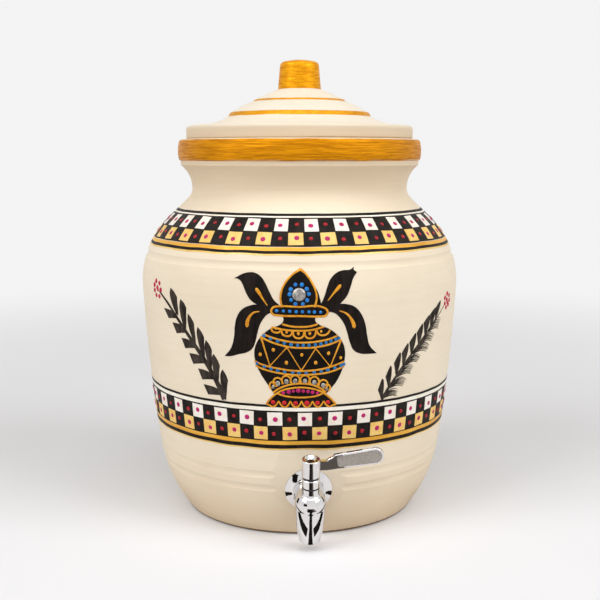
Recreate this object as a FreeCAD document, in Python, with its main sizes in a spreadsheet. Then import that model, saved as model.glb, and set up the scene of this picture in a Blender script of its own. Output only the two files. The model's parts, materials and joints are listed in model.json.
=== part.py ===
import FreeCAD, Part
import math
import os
import re
import Sketcher

# Clay water pot with a lid and a quarter-turn lever tap.
# Millimetres, +Z up, origin at the middle of the foot, the tap at the front on -Y.

doc = FreeCAD.newDocument("ClayWaterPot")
sheet = doc.addObject("Spreadsheet::Sheet", "Sizes")

# Driving sizes: name, value, what it is
SIZES = [
    # Pot, thrown in clay
    ("foot_radius", 104.0, "outside of the foot"),
    ("foot_round", 3.0, "rounding of the foot's edge"),
    ("lower_radius", 128.0, "outside where the foot's curve ends"),
    ("lower_height", 61.8, "height of that place, the upper edge of a groove"),
    ("lower_curve", 123.0, "radius of the foot's curve"),
    ("belly_radius", 141.2, "outside at the widest place"),
    ("belly_height", 200.0, "height of the widest place"),
    ("belly_curve", 1540.0, "radius of the long wall's slight crown"),
    ("belly_lean", 3.0, "slope of the wall where the shoulder starts"),
    ("shoulder_curve", 77.6, "radius of the shoulder"),
    ("shoulder_angle", 45.0, "slope of the shoulder's painted band"),
    ("mouth_radius", 91.0, "inside of the mouth"),
    ("mouth_round", 2.0, "rounding of the mouth's edge"),
    ("neck_step", 4.9, "outside of the neck at its narrowest, past the mouth"),
    ("neck_rise", 86.0, "height of the narrowest place above the widest"),
    ("neck_curve_low", 12.3, "radius between shoulder and neck"),
    ("neck_curve_high", 25.3, "radius of the flare above the neck"),
    ("flare_rise", 20.0, "height of the flare above the narrowest place"),
    ("rim_lift", 4.6, "height of the rim's lower edge above the flare"),
    ("rim_height", 17.9, "height of the gilded rim"),
    ("rim_width", 16.2, "from the mouth to the outside of the rim's edges"),
    ("rim_crown", 34.0, "radius of the rim's bulging face"),
    ("rim_round", 3.5, "rounding of the rim's upper edge"),
    ("wall", 9.0, "clay wall"),
    ("base_thickness", 11.0, "clay floor"),
    ("floor_round", 10.0, "curve between floor and wall"),
    ("groove_half", 3.2, "half the width of the grooves round the pot"),
    ("groove_depth", 0.9, "their depth"),
    ("groove_low", 46.4, "height of the lower groove near the foot"),
    ("groove_rise", 29.6, "height of the groove under the shoulder band above the widest place"),
    # Lid, thrown in clay with its knob
    ("lid_reach", 9.5, "how far the lid's flange reaches past the mouth"),
    ("lid_flange", 11.6, "height of the flange's edge"),
    ("lid_edge_round", 2.6, "rounding of the flange's upper edge"),
    ("lid_under_round", 1.4, "rounding of the flange's lower edge"),
    ("lid_spigot_gap", 4.0, "room between spigot and mouth"),
    ("lid_spigot_depth", 10.0, "how far the spigot reaches into the mouth"),
    ("lid_spigot_wall", 8.5, "thickness of the spigot"),
    ("lid_wall", 9.0, "thickness of the dome"),
    ("tier_low_radius", 63.6, "foot of the wide gilded step"),
    ("tier_low_height", 19.7, "its height above the rim"),
    ("tier_low_step", 3.1, "height of the wide gilded step"),
    ("tier_low_inset", 1.8, "how far that step leans in"),
    ("tier_high_radius", 41.0, "foot of the narrow gilded step"),
    ("tier_high_height", 33.1, "its height above the rim"),
    ("tier_high_step", 1.3, "height of the narrow gilded step"),
    ("tier_high_inset", 1.0, "how far that step leans in"),
    ("tier_hollow", 58.0, "radius of the flared lowest tier"),
    ("tier_crown", 85.0, "radius of the middle tier's crown"),
    ("knob_radius", 18.9, "knob where it leaves the dome"),
    ("knob_top_radius", 17.2, "knob near its top"),
    ("knob_foot_height", 43.8, "height of the knob's foot above the rim"),
    ("knob_height", 69.3, "height of the knob's top above the rim"),
    ("knob_round", 4.5, "rounding of the knob's upper edge"),
    ("knob_crown", 55.0, "radius of the knob's slightly domed top"),
    # Place of the tap
    ("tap_height", 45.0, "height of the shank's axis at the wall"),
    ("tap_tilt", 12.0, "how far the tap leans with the wall"),
    ("pad_half_width", 30.0, "half the width of the flat pressed for the tap"),
    ("pad_reach", 75.0, "how far the flattening tool reached up and down"),
    ("pad_wall", 9.5, "clay between the two flats"),
    ("inner_flat_radius", 21.0, "raised flat inside the pot for the nut"),
    ("hole_gap", 1.0, "room round the shank in the clay"),
    # Shank and what clamps it
    ("shank_radius", 8.0, "threaded shank, M16"),
    ("shank_bore", 4.5, "water way through the shank"),
    ("washer_gap", 0.2, "room of the washers on the shank"),
    ("thread_gap", 0.05, "room of the nut on the thread"),
    ("front_washer_thickness", 3.2, "silicone washer under the rosette"),
    ("rear_washer_thickness", 3.0, "silicone washer inside the pot"),
    ("rear_washer_radius", 15.0, "its outside"),
    ("clamp_washer_thickness", 1.5, "steel washer under the nut"),
    ("clamp_washer_radius", 14.5, "its outside"),
    ("nut_height", 7.0, "hexagon nut"),
    ("nut_flats", 22.0, "across the nut's flats"),
    ("nut_chamfer", 1.0, "height of the nut's corner chamfer"),
    ("shank_overrun", 4.0, "thread that stands past the nut"),
    ("rosette_radius", 19.2, "rim of the rosette"),
    ("rosette_sheet", 1.0, "sheet that the rosette is pressed from"),
    ("rosette_land", 13.6, "flat middle of the rosette"),
    ("rosette_lift", 0.3, "rosette's rim off the clay"),
    # Tap casting
    ("standoff", 21.3, "valve axis from the pot's flat"),
    ("collar_radius", 12.3, "round neck between rosette and valve"),
    ("bulb_radius", 12.5, "widest part of the casting"),
    ("boss_wall", 1.3, "metal round the valve chamber at the top of the casting"),
    ("boss_top", 15.2, "height of that face above the shank's axis"),
    ("boss_blend", 2.6, "curve between boss and bulb"),
    ("spout_radius", 9.0, "outside of the spout's end"),
    ("spout_drop", 33.3, "spout's end below the shank's axis"),
    ("spout_flank", 150.0, "radius of the spout's slight swell"),
    ("spout_round", 1.4, "rounding of the spout's edge"),
    ("spout_bore", 7.2, "water way at the spout's end"),
    ("spout_throat", 3.4, "water way under the valve"),
    ("spout_cone_top", 13.0, "where the spout's bore starts to widen"),
    ("spout_cone_bottom", 26.0, "where it has its full width"),
    ("chamber_radius", 6.0, "valve chamber"),
    ("chamber_drop", 9.0, "chamber's floor below the shank's axis"),
    # Valve
    ("skirt_gap", 0.1, "room of the bonnet's thread in the chamber"),
    ("seal_thickness", 0.8, "seal between casting and bonnet"),
    ("seal_inset", 0.4, "how far that seal sits back"),
    ("bonnet_inset", 0.1, "how far the bonnet sits back from the casting's top"),
    ("bonnet_height", 7.4, "bonnet above its seal"),
    ("bonnet_edge", 0.5, "chamfer on the bonnet's edges"),
    ("skirt_bottom", 5.5, "bonnet's lower end above the shank's axis"),
    ("plug_radius", 4.5, "turning plug"),
    ("plug_gap", 0.05, "room of the plug in its sleeve"),
    ("plug_top", 11.0, "plug's shoulder above the shank's axis"),
    ("plug_bore", 3.0, "water way up the plug"),
    ("plug_bore_top", 4.2, "end of that water way"),
    ("plug_window", 3.0, "radius of the plug's side window"),
    ("plug_lift", 0.3, "plug off the sleeve's lower edge"),
    ("stem_radius", 3.5, "stem above the plug"),
    ("stem_gap", 0.08, "room of the stem in the bonnet"),
    ("thrust_thickness", 1.0, "washer between plug and bonnet"),
    ("ring_wire", 0.45, "half the thickness of the stem's O-rings"),
    ("ring_depth", 0.9, "depth of their grooves"),
    ("ring_width", 1.1, "width of their grooves"),
    ("ring_first", 14.6, "height of the lower O-ring"),
    ("ring_pitch", 3.4, "distance between the O-rings"),
    ("sleeve_gap", 0.05, "room of the sleeve in the chamber"),
    ("sleeve_seal", 0.8, "seal under the sleeve"),
    ("lug_gap", 0.4, "stop lug back from the skirt's outside"),
    ("lug_height", 2.0, "stop lug's height"),
    ("lug_angle", 30.0, "stop lug's width"),
    ("turn_angle", 90.0, "lever's travel from shut to open"),
    ("turn_spare", 2.5, "room left at each stop"),
    ("glide_thickness", 1.8, "nylon washer under the lever"),
    ("glide_radius", 6.2, "its outside"),
    # Lever
    ("hub_radius", 7.15, "lever's round hub"),
    ("hub_height", 14.9, "its height"),
    ("hub_lip", 1.1, "rim round the dished top"),
    ("hub_dish", 1.9, "depth of the dished top"),
    ("hub_edge", 0.5, "rounding of the hub's edges"),
    ("drive_square", 4.6, "square on the stem"),
    ("drive_gap", 0.05, "room of the square in the hub"),
    ("drive_height", 7.8, "height of the square"),
    ("screw_head_radius", 2.6, "lever screw's head"),
    ("screw_head_height", 1.8, "its height"),
    ("screw_radius", 1.4, "lever screw's shank"),
    ("screw_length", 7.0, "lever screw below its head"),
    ("screw_gap", 0.1, "room round the screw"),
    ("screw_slot", 0.8, "width of the screw's cross slots"),
    ("arm_low", 30.1, "arm's lower edge at the hub"),
    ("arm_high", 38.6, "arm's upper edge at the hub"),
    ("arm_bend", 12.0, "where the arm starts to widen"),
    ("plate_start", 19.0, "where the plate starts"),
    ("plate_middle", 37.6, "plate's middle line there"),
    ("plate_rise", 8.2, "slope of the plate"),
    ("plate_length", 31.6, "plate up to its round end's centre"),
    ("plate_half_start", 6.3, "half the plate's width at its start"),
    ("plate_half_end", 7.1, "half its width at the round end"),
    ("plate_thickness", 3.2, "thickness of arm and plate"),
    ("plate_edge", 0.7, "rounding of the plate's edges"),
    ("plate_border", 1.5, "raised border round the plate's face"),
    ("plate_recess", 0.5, "depth of the bare recessed face"),
    ("plate_corner", 2.0, "corner radius of the recess"),
]

# Sizes that follow from the driving ones
RELATIONS = {
    "slope_low": "(lower_radius - foot_radius)",
    "rise_low": "(lower_height - foot_round)",
    "chord_low": "sqrt(slope_low^2 + rise_low^2)",
    "reach_low": "sqrt(lower_curve^2 - chord_low^2 / 4)",
    "centre_low_r": "((foot_radius + lower_radius) / 2 - reach_low * rise_low / chord_low)",
    "centre_low_z": "((foot_round + lower_height) / 2 + reach_low * slope_low / chord_low)",
    "wall_at_tap": "(centre_low_r + sqrt(lower_curve^2 - (tap_height - centre_low_z)^2))",
    "groove_curve": "((groove_half^2 + groove_depth^2) / (2 * groove_depth))",
    "pad_distance": "sqrt(wall_at_tap^2 - pad_half_width^2)",
    "shoulder_centre_z": "(belly_height + shoulder_curve * sin(belly_lean))",
    "shoulder_centre_r": "(belly_radius - shoulder_curve * cos(belly_lean))",
    "shoulder_out_r": "(shoulder_centre_r + shoulder_curve * cos(shoulder_angle))",
    "shoulder_out_z": "(shoulder_centre_z + shoulder_curve * sin(shoulder_angle))",
    "groove_high": "(belly_height + groove_rise)",
    "neck_radius": "(mouth_radius + neck_step)",
    "neck_height": "(belly_height + neck_rise)",
    "neck_low_r": "(neck_radius + neck_curve_low * (1 - cos(shoulder_angle)))",
    "neck_low_z": "(neck_height - neck_curve_low * sin(shoulder_angle))",
    "flare_top": "(neck_height + flare_rise)",
    "flare_r": "(neck_radius + neck_curve_high - sqrt(neck_curve_high^2 - flare_rise^2))",
    "rim_radius": "(mouth_radius + rim_width)",
    "rim_bottom": "(flare_top + rim_lift)",
    "rim_top": "(rim_bottom + rim_height)",
    "lid_radius": "(mouth_radius + lid_reach)",
    "wall_shift_r": "(wall * cos(shoulder_angle))",
    "wall_shift_z": "(wall * sin(shoulder_angle))",
    "spigot_radius": "(mouth_radius - lid_spigot_gap)",
    "shoulder_face": "(front_washer_thickness + rosette_sheet)",
    "clamp_depth": "(pad_wall + rear_washer_thickness + clamp_washer_thickness)",
    "shank_depth": "(clamp_depth + nut_height + shank_overrun)",
    "nut_corner": "(nut_flats / 2 / cos(30))",
    "boss_radius": "(chamber_radius + boss_wall)",
    "bonnet_radius": "(boss_radius - bonnet_inset)",
    "bonnet_seat": "(boss_top + seal_thickness)",
    "bonnet_top": "(bonnet_seat + bonnet_height)",
    "hub_bottom": "(bonnet_top + glide_thickness)",
    "hub_top": "(hub_bottom + hub_height)",
    "skirt_radius": "(chamber_radius - skirt_gap)",
    "skirt_bore": "(plug_radius + 4 * plug_gap)",
    "stem_bore": "(stem_radius + stem_gap)",
    "bonnet_step": "(plug_top + thrust_thickness)",
    "sleeve_bottom": "(sleeve_seal - chamber_drop)",
    "drive_top": "(hub_bottom + drive_height)",
    "screw_seat": "(hub_top - hub_dish - screw_head_height)",
    "plate_end_x": "(plate_start + plate_length * cos(plate_rise))",
    "plate_end_z": "(plate_middle + plate_length * sin(plate_rise))",
}

# Every piece, in the order it is made
PIECES = []


def fill_sheet():
    """Write the driving sizes as plain numbers with an alias each."""
    for row, (name, value, meaning) in enumerate(SIZES, start=1):
        sheet.set(f"A{row}", meaning)
        sheet.set(f"B{row}", str(value))
        sheet.setAlias(f"B{row}", name)
    doc.recompute()


ALIASES = {name for name, _, _ in SIZES}


def bind(text):
    """Turn a formula in size names into an expression on the sheet."""
    def swap(match):
        word = match.group(0)
        if word in RELATIONS:
            return bind(RELATIONS[word])
        return f"Sizes.{word}" if word in ALIASES else word
    return re.sub(r"[a-z][a-z_0-9]*", swap, str(text))


def number(text):
    """The present value of a formula."""
    return float(sheet.evalExpression(bind(text)))


def plane(body, role):
    """One of the body's own origin planes."""
    return next(item for item in body.Origin.OriginFeatures if item.Role == role)


def new_body(name):
    body = doc.addObject("PartDesign::Body", name)
    body.Label = name
    PIECES.append(body)
    return body


def place(body, y_formula, z_formula, angle_formula):
    """Stand a body on the tap's leaning axes; it turns about X only."""
    body.Placement = FreeCAD.Placement(
        FreeCAD.Vector(0, number(y_formula), number(z_formula)),
        FreeCAD.Rotation(FreeCAD.Vector(1, 0, 0), number(angle_formula)))
    body.setExpression("Placement.Base.y", bind(y_formula))
    body.setExpression("Placement.Base.z", bind(z_formula))
    body.setExpression("Placement.Rotation.Angle", bind(angle_formula))


def on_wall(body):
    """Local Z runs out of the pot along the shank, from the pot's flat."""
    place(body, "-pad_distance", "tap_height", "90 + tap_tilt")


def on_valve(body):
    """Local Z runs up the valve, from where it crosses the shank's axis."""
    place(body, "-(pad_distance + standoff * cos(tap_tilt))",
          "tap_height - standoff * sin(tap_tilt)", "tap_tilt")


def new_sketch(body, name, role="XZ_Plane"):
    sketch = body.newObject("Sketcher::SketchObject", name)
    sketch.AttachmentSupport = [(plane(body, role), "")]
    sketch.MapMode = "FlatFace"
    return sketch


def offset_sketch(sketch, x="0", y="0", z="0", angle="0"):
    """Shift and turn a sketch in its own plane's axes."""
    values = [number(x), number(y), number(z)]
    turn = FreeCAD.Rotation(FreeCAD.Vector(0, 0, 1), number(angle) or 1.0)
    sketch.AttachmentOffset = FreeCAD.Placement(FreeCAD.Vector(*values), turn)
    sketch.setExpression("AttachmentOffset.Base.x", bind(x))
    sketch.setExpression("AttachmentOffset.Base.y", bind(y))
    sketch.setExpression("AttachmentOffset.Base.z", bind(z))
    sketch.setExpression("AttachmentOffset.Rotation.Angle", bind(angle))


def constrain(sketch, kind, *what, value):
    """A dimension that follows its formula."""
    index = sketch.addConstraint(Sketcher.Constraint(kind, *what, number(value)))
    sketch.setExpression(f"Constraints[{index}]", bind(value))


def arc_through(start, end, radius, side):
    """A minor arc that bulges to the left or right of the way from start to end."""
    chord = end - start
    sagitta = radius - math.sqrt(radius ** 2 - (chord.Length / 2) ** 2)
    outward = FreeCAD.Vector(chord.y, -chord.x, 0).normalize()
    if side == "left":
        outward = outward * -1
    return Part.Arc(start, (start + end) / 2 + outward * sagitta, end)


def outline(sketch, corners):
    """A closed outline. Each corner is (x, y), or (x, y, side, radius) when the
    edge that leaves it is an arc that bulges to that side."""
    spots = [FreeCAD.Vector(number(c[0]), number(c[1]), 0) for c in corners]
    ends = []
    for index, corner in enumerate(corners):
        start = spots[index]
        end = spots[(index + 1) % len(corners)]
        if len(corner) == 2:
            edge = sketch.addGeometry(Part.LineSegment(start, end))
        else:
            radius = number(corner[3])
            edge = sketch.addGeometry(arc_through(start, end, radius, corner[2]))
            constrain(sketch, "Radius", edge, value=corner[3])
        forward = sketch.getPoint(edge, 1).distanceToPoint(start) < 1e-6
        ends.append((edge, 1, 2) if forward else (edge, 2, 1))
    for index, corner in enumerate(corners):
        edge, first, _ = ends[index]
        before, _, last = ends[index - 1]
        sketch.addConstraint(Sketcher.Constraint("Coincident", before, last, edge, first))
        constrain(sketch, "DistanceX", -1, 1, edge, first, value=corner[0])
        constrain(sketch, "DistanceY", -1, 1, edge, first, value=corner[1])
    return sketch


def circle(sketch, x, y, radius):
    centre = FreeCAD.Vector(number(x), number(y), 0)
    ring = sketch.addGeometry(Part.Circle(centre, FreeCAD.Vector(0, 0, 1), number(radius)))
    constrain(sketch, "Radius", ring, value=radius)
    constrain(sketch, "DistanceX", -1, 1, ring, 3, value=x)
    constrain(sketch, "DistanceY", -1, 1, ring, 3, value=y)
    return sketch


def turned(body, kind, name, sketch, axis="V_Axis"):
    """A Revolution or a Groove, all the way round one of the sketch's axes."""
    feature = body.newObject(f"PartDesign::{kind}", name)
    feature.Profile = sketch
    feature.ReferenceAxis = (sketch, [axis])
    feature.Angle = 360
    doc.recompute()
    return feature


def padded(body, name, sketch, length, both_ways=False):
    pad = body.newObject("PartDesign::Pad", name)
    pad.Profile = sketch
    pad.setExpression("Length", bind(length))
    pad.Midplane = both_ways
    doc.recompute()
    return pad


def pocketed(body, name, sketch, length, both_ways=False, reverse=False):
    """A pocket that has to take clay or metal away."""
    before = body.Shape.Volume
    pocket = body.newObject("PartDesign::Pocket", name)
    pocket.Profile = sketch
    pocket.setExpression("Length", bind(length))
    pocket.Midplane = both_ways
    pocket.Reversed = reverse
    doc.recompute()
    if body.Shape.Volume > before - 1e-3:
        raise RuntimeError(f"{name} removes nothing")
    return pocket


def ring_piece(name, inner, outer, low, high, frame, edge="0"):
    """A washer or bush: a rectangle turned round the frame's axis."""
    body = new_body(name)
    corners = [(inner, low), (outer, low), (outer, high), (inner, high)]
    turned(body, "Revolution", "Turned", outline(new_sketch(body, "Section"), corners))
    frame(body)
    return body


# Pot

def lower_wall(height):
    """A place on the foot's curve."""
    return f"centre_low_r + sqrt(lower_curve^2 - ({height} - centre_low_z)^2)", height


def shoulder(height):
    """A place on the rounded shoulder, whose centre lies a little above the belly."""
    return (f"shoulder_centre_r + sqrt(shoulder_curve^2 - ({height} - shoulder_centre_z)^2)",
            height)


def pot_outside():
    """Half section of the pot's outer form, closed along the axis."""
    return [
        ("0", "0"),
        ("foot_radius - foot_round", "0", "right", "foot_round"),
        ("foot_radius", "foot_round", "right", "lower_curve"),
        (*lower_wall("groove_low - groove_half"), "left", "groove_curve"),
        (*lower_wall("groove_low + groove_half"), "right", "lower_curve"),
        (*lower_wall("lower_height - 2 * groove_half"), "left", "groove_curve"),
        ("lower_radius", "lower_height", "right", "belly_curve"),
        ("belly_radius", "belly_height", "right", "shoulder_curve"),
        (*shoulder("groove_high - groove_half"), "left", "groove_curve"),
        (*shoulder("groove_high + groove_half"), "right", "shoulder_curve"),
        ("shoulder_out_r", "shoulder_out_z"),
        ("neck_low_r", "neck_low_z", "left", "neck_curve_low"),
        ("neck_radius", "neck_height", "left", "neck_curve_high"),
        ("flare_r", "flare_top"),
        ("flare_r + 0.4", "rim_bottom"),
        ("rim_radius", "rim_bottom", "right", "rim_crown"),
        ("rim_radius", "rim_top - rim_round", "right", "rim_round"),
        ("rim_radius - rim_round", "rim_top"),
        ("0", "rim_top"),
    ]


def pot_inside():
    """Half section of the hollow, the wall's thickness inside the outer form."""
    return [
        ("0", "base_thickness"),
        ("foot_radius - wall", "base_thickness", "right", "1.2 * floor_round"),
        ("foot_radius - wall + floor_round", "base_thickness + floor_round",
         "right", "lower_curve - wall"),
        ("lower_radius - wall", "lower_height", "right", "belly_curve - wall"),
        ("belly_radius - wall", "belly_height", "right", "shoulder_curve - wall"),
        ("shoulder_out_r - wall_shift_r", "shoulder_out_z - wall_shift_z"),
        ("neck_low_r - wall_shift_r", "neck_low_z - wall_shift_z",
         "left", "neck_curve_low + wall"),
        ("neck_radius - wall", "neck_height", "left", "neck_curve_high + wall"),
        ("mouth_radius", "flare_top"),
        ("mouth_radius", "rim_top - mouth_round", "left", "mouth_round"),
        ("mouth_radius + mouth_round", "rim_top"),
        ("mouth_radius + mouth_round", "rim_top + wall"),
        ("0", "rim_top + wall"),
    ]


def tap_section(body, name):
    """A sketch in the upright plane through the shank; its V axis runs out of the pot."""
    sketch = new_sketch(body, name, "YZ_Plane")
    offset_sketch(sketch, "-pad_distance", "tap_height", "0", "90 + tap_tilt")
    return sketch


def make_pot():
    body = new_body("pot_body")
    turned(body, "Revolution", "OuterForm", outline(new_sketch(body, "OuterSection"), pot_outside()))
    turned(body, "Groove", "Hollow", outline(new_sketch(body, "InnerSection"), pot_inside()))

    flat = [("0", "-pad_wall"), ("inner_flat_radius", "-pad_wall"),
            ("inner_flat_radius", "-pad_wall / 2"), ("0", "-pad_wall / 2")]
    turned(body, "Revolution", "InnerFlat", outline(tap_section(body, "InnerFlatSection"), flat))

    pad = outline(tap_section(body, "PadSection"),
                  [("-pad_reach", "0"), ("pad_reach", "0"),
                   ("pad_reach", "2 * pad_half_width"), ("-pad_reach", "2 * pad_half_width")])
    pocketed(body, "TapPad", pad, "4 * pad_half_width", both_ways=True)

    hole = [("0", "-2 * pad_wall"), ("shank_radius + hole_gap", "-2 * pad_wall"),
            ("shank_radius + hole_gap", "pad_wall"), ("0", "pad_wall")]
    turned(body, "Groove", "TapHole", outline(tap_section(body, "TapHoleSection"), hole))
    return body


# Lid

def make_lid():
    """Flange, flared tier, two gilded steps and the knob, hollow underneath."""
    body = new_body("lid")
    top = "rim_top + knob_height"
    crown_drop = "(knob_crown - sqrt(knob_crown^2 - (knob_top_radius - knob_round)^2))"
    outside = [
        ("0", "rim_top + knob_foot_height - 2 * lid_wall"),
        ("tier_high_radius - lid_wall / 2", "rim_top + tier_high_height - lid_wall"),
        ("tier_low_radius", "rim_top + tier_low_height - 1.1 * lid_wall"),
        ("spigot_radius - lid_spigot_wall", "rim_top + lid_flange / 4"),
        ("spigot_radius - lid_spigot_wall", "rim_top - lid_spigot_depth"),
        ("spigot_radius - 1", "rim_top - lid_spigot_depth"),
        ("spigot_radius", "rim_top"),
        ("lid_radius - lid_under_round", "rim_top", "right", "lid_under_round"),
        ("lid_radius", "rim_top + lid_under_round"),
        ("lid_radius", "rim_top + lid_flange - lid_edge_round", "right", "lid_edge_round"),
        ("lid_radius - lid_edge_round", "rim_top + lid_flange"),
        ("lid_radius - 2 * lid_edge_round", "rim_top + lid_flange + 0.5", "left", "tier_hollow"),
        ("tier_low_radius", "rim_top + tier_low_height"),
        ("tier_low_radius - tier_low_inset", "rim_top + tier_low_height + tier_low_step",
         "right", "tier_crown"),
        ("tier_high_radius", "rim_top + tier_high_height"),
        ("tier_high_radius - tier_high_inset", "rim_top + tier_high_height + tier_high_step",
         "right", "2 * tier_crown"),
        ("knob_radius", "rim_top + knob_foot_height"),
        ("knob_top_radius", f"{top} - knob_round - {crown_drop}", "right", "knob_round"),
        ("knob_top_radius - knob_round", f"{top} - {crown_drop}", "right", "knob_crown"),
        ("0", top),
    ]
    turned(body, "Revolution", "Thrown", outline(new_sketch(body, "LidSection"), outside))
    return body


# What clamps the tap in the wall

def make_clamping():
    around = "shank_radius + washer_gap"
    ring_piece("front_washer", around, "rosette_land - rosette_lift",
               "0", "front_washer_thickness", on_wall)
    ring_piece("rear_washer", around, "rear_washer_radius",
               "-(pad_wall + rear_washer_thickness)", "-pad_wall", on_wall)
    ring_piece("clamp_washer", around, "clamp_washer_radius",
               "-clamp_depth", "-(pad_wall + rear_washer_thickness)", on_wall)
    make_rosette()
    make_nut()


def make_rosette():
    """Pressed sheet, flat in the middle, curving back to its rim near the clay."""
    body = new_body("rosette")
    inner_face = "front_washer_thickness"
    section = [
        ("shank_radius + washer_gap", inner_face),
        ("rosette_land", inner_face, "right", "2 * rosette_land"),
        ("rosette_radius - rosette_sheet", "rosette_lift"),
        ("rosette_radius", "rosette_lift"),
        ("rosette_radius", "rosette_lift + rosette_sheet / 2", "left", "2 * rosette_land"),
        ("rosette_land", "shoulder_face"),
        ("shank_radius + washer_gap", "shoulder_face"),
    ]
    turned(body, "Revolution", "Pressed", outline(new_sketch(body, "RosetteSection"), section))
    on_wall(body)


def make_nut():
    """Hexagon nut with chamfered corners on the shank's thread."""
    body = new_body("lock_nut")
    hexagon = [(f"nut_corner * cos({60 * side})", f"nut_corner * sin({60 * side})")
               for side in range(6)]
    sketch = outline(new_sketch(body, "Hexagon", "XY_Plane"), hexagon)
    offset_sketch(sketch, z="-(clamp_depth + nut_height)")
    padded(body, "Blank", sketch, "nut_height")
    corner = [("nut_flats / 2", "-(clamp_depth + nut_height)"),
              ("nut_corner + 1", "-(clamp_depth + nut_height)"),
              ("nut_corner + 1", "-(clamp_depth + nut_height) + 1.5 * nut_chamfer")]
    turned(body, "Groove", "CornerChamfer", outline(new_sketch(body, "CornerSection"), corner))
    bore = [("0", "-(clamp_depth + nut_height + 1)"),
            ("shank_radius + thread_gap", "-(clamp_depth + nut_height + 1)"),
            ("shank_radius + thread_gap", "-clamp_depth + 1"), ("0", "-clamp_depth + 1")]
    turned(body, "Groove", "Bore", outline(new_sketch(body, "BoreSection"), bore))
    on_wall(body)


# Tap casting

def make_tap_body():
    """Drop-shaped casting with its boss, its collar and the hollow threaded shank."""
    body = new_body("tap_body")
    blend_x = "(boss_radius + 1.9)"
    cheek = "bulb_radius * cos(12)"
    drop = [
        ("0", "-spout_drop"),
        ("spout_radius - spout_round", "-spout_drop", "right", "spout_round"),
        ("spout_radius", "spout_round - spout_drop", "right", "spout_flank"),
        (cheek, "-bulb_radius * sin(12)", "right", "bulb_radius"),
        (blend_x, f"sqrt(bulb_radius^2 - {blend_x}^2)", "left", "boss_blend"),
        ("boss_radius", f"sqrt(bulb_radius^2 - {blend_x}^2) + 2.3"),
        ("boss_radius", "boss_top"),
        ("0", "boss_top"),
    ]
    turned(body, "Revolution", "Drop", outline(new_sketch(body, "DropSection"), drop))

    # The sketch's H axis is the shank's axis, which runs into the pot
    shank = [
        ("0", "0"),
        ("standoff + shank_depth", "0"),
        ("standoff + shank_depth", "shank_radius - 0.8"),
        ("standoff + shank_depth - 0.8", "shank_radius"),
        ("standoff - shoulder_face", "shank_radius"),
        ("standoff - shoulder_face", "collar_radius - 0.5"),
        ("standoff - shoulder_face - 0.5", "collar_radius"),
        ("0", "collar_radius"),
    ]
    sketch = outline(new_sketch(body, "ShankSection", "YZ_Plane"), shank)
    turned(body, "Revolution", "Shank", sketch, "H_Axis")

    way = [
        ("0", "-spout_drop - 1"),
        ("spout_bore", "-spout_drop - 1"),
        ("spout_bore", "-spout_cone_bottom"),
        ("spout_throat", "-spout_cone_top"),
        ("spout_throat", "-chamber_drop"),
        ("chamber_radius", "-chamber_drop"),
        ("chamber_radius", "boss_top + 1"),
        ("0", "boss_top + 1"),
    ]
    turned(body, "Groove", "WaterWay", outline(new_sketch(body, "WaySection"), way))
    inlet = [("0", "0"), ("standoff + shank_depth + 1", "0"),
             ("standoff + shank_depth + 1", "shank_bore"), ("0", "shank_bore")]
    sketch = outline(new_sketch(body, "InletSection", "YZ_Plane"), inlet)
    turned(body, "Groove", "Inlet", sketch, "H_Axis")
    on_valve(body)


# Valve

def sector(inner, outer, start, end):
    """A part of a ring between two angles, less than half a turn."""
    def corner(radius, angle):
        return f"({radius}) * cos({angle})", f"({radius}) * sin({angle})"
    return [corner(inner, start), (*corner(outer, start), "right", outer),
            corner(outer, end), (*corner(inner, end), "left", inner)]


def make_bonnet():
    """Ring over the casting, with a threaded skirt that holds the plug down.
    The skirt is open where the plug's stop lug travels."""
    body = new_body("bonnet")
    section = [
        ("skirt_bore", "skirt_bottom"),
        ("skirt_radius", "skirt_bottom"),
        ("skirt_radius", "bonnet_seat"),
        ("bonnet_radius - bonnet_edge", "bonnet_seat"),
        ("bonnet_radius", "bonnet_seat + bonnet_edge"),
        ("bonnet_radius", "bonnet_top - bonnet_edge"),
        ("bonnet_radius - bonnet_edge", "bonnet_top"),
        ("stem_bore", "bonnet_top"),
        ("stem_bore", "bonnet_step"),
        ("skirt_bore", "bonnet_step"),
    ]
    turned(body, "Revolution", "Turned", outline(new_sketch(body, "BonnetSection"), section))
    travel = sector("plug_radius", "chamber_radius + 1",
                    "-(turn_angle + lug_angle / 2 + turn_spare)", "lug_angle / 2 + turn_spare")
    sketch = outline(new_sketch(body, "LugWay", "XY_Plane"), travel)
    offset_sketch(sketch, z="skirt_bottom - 1")
    pocketed(body, "LugTravel", sketch, "plug_top - skirt_bottom + 1.3", reverse=True)
    on_valve(body)


def make_sleeve():
    """Slippery lining of the chamber, with its window towards the pot."""
    body = ring_piece("seat_sleeve", "plug_radius + plug_gap", "chamber_radius - sleeve_gap",
                      "sleeve_bottom", "skirt_bottom", on_valve)
    window = circle(new_sketch(body, "SleeveWindow"), "0", "0", "plug_window")
    pocketed(body, "InletWindow", window, "chamber_radius + 1")


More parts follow.
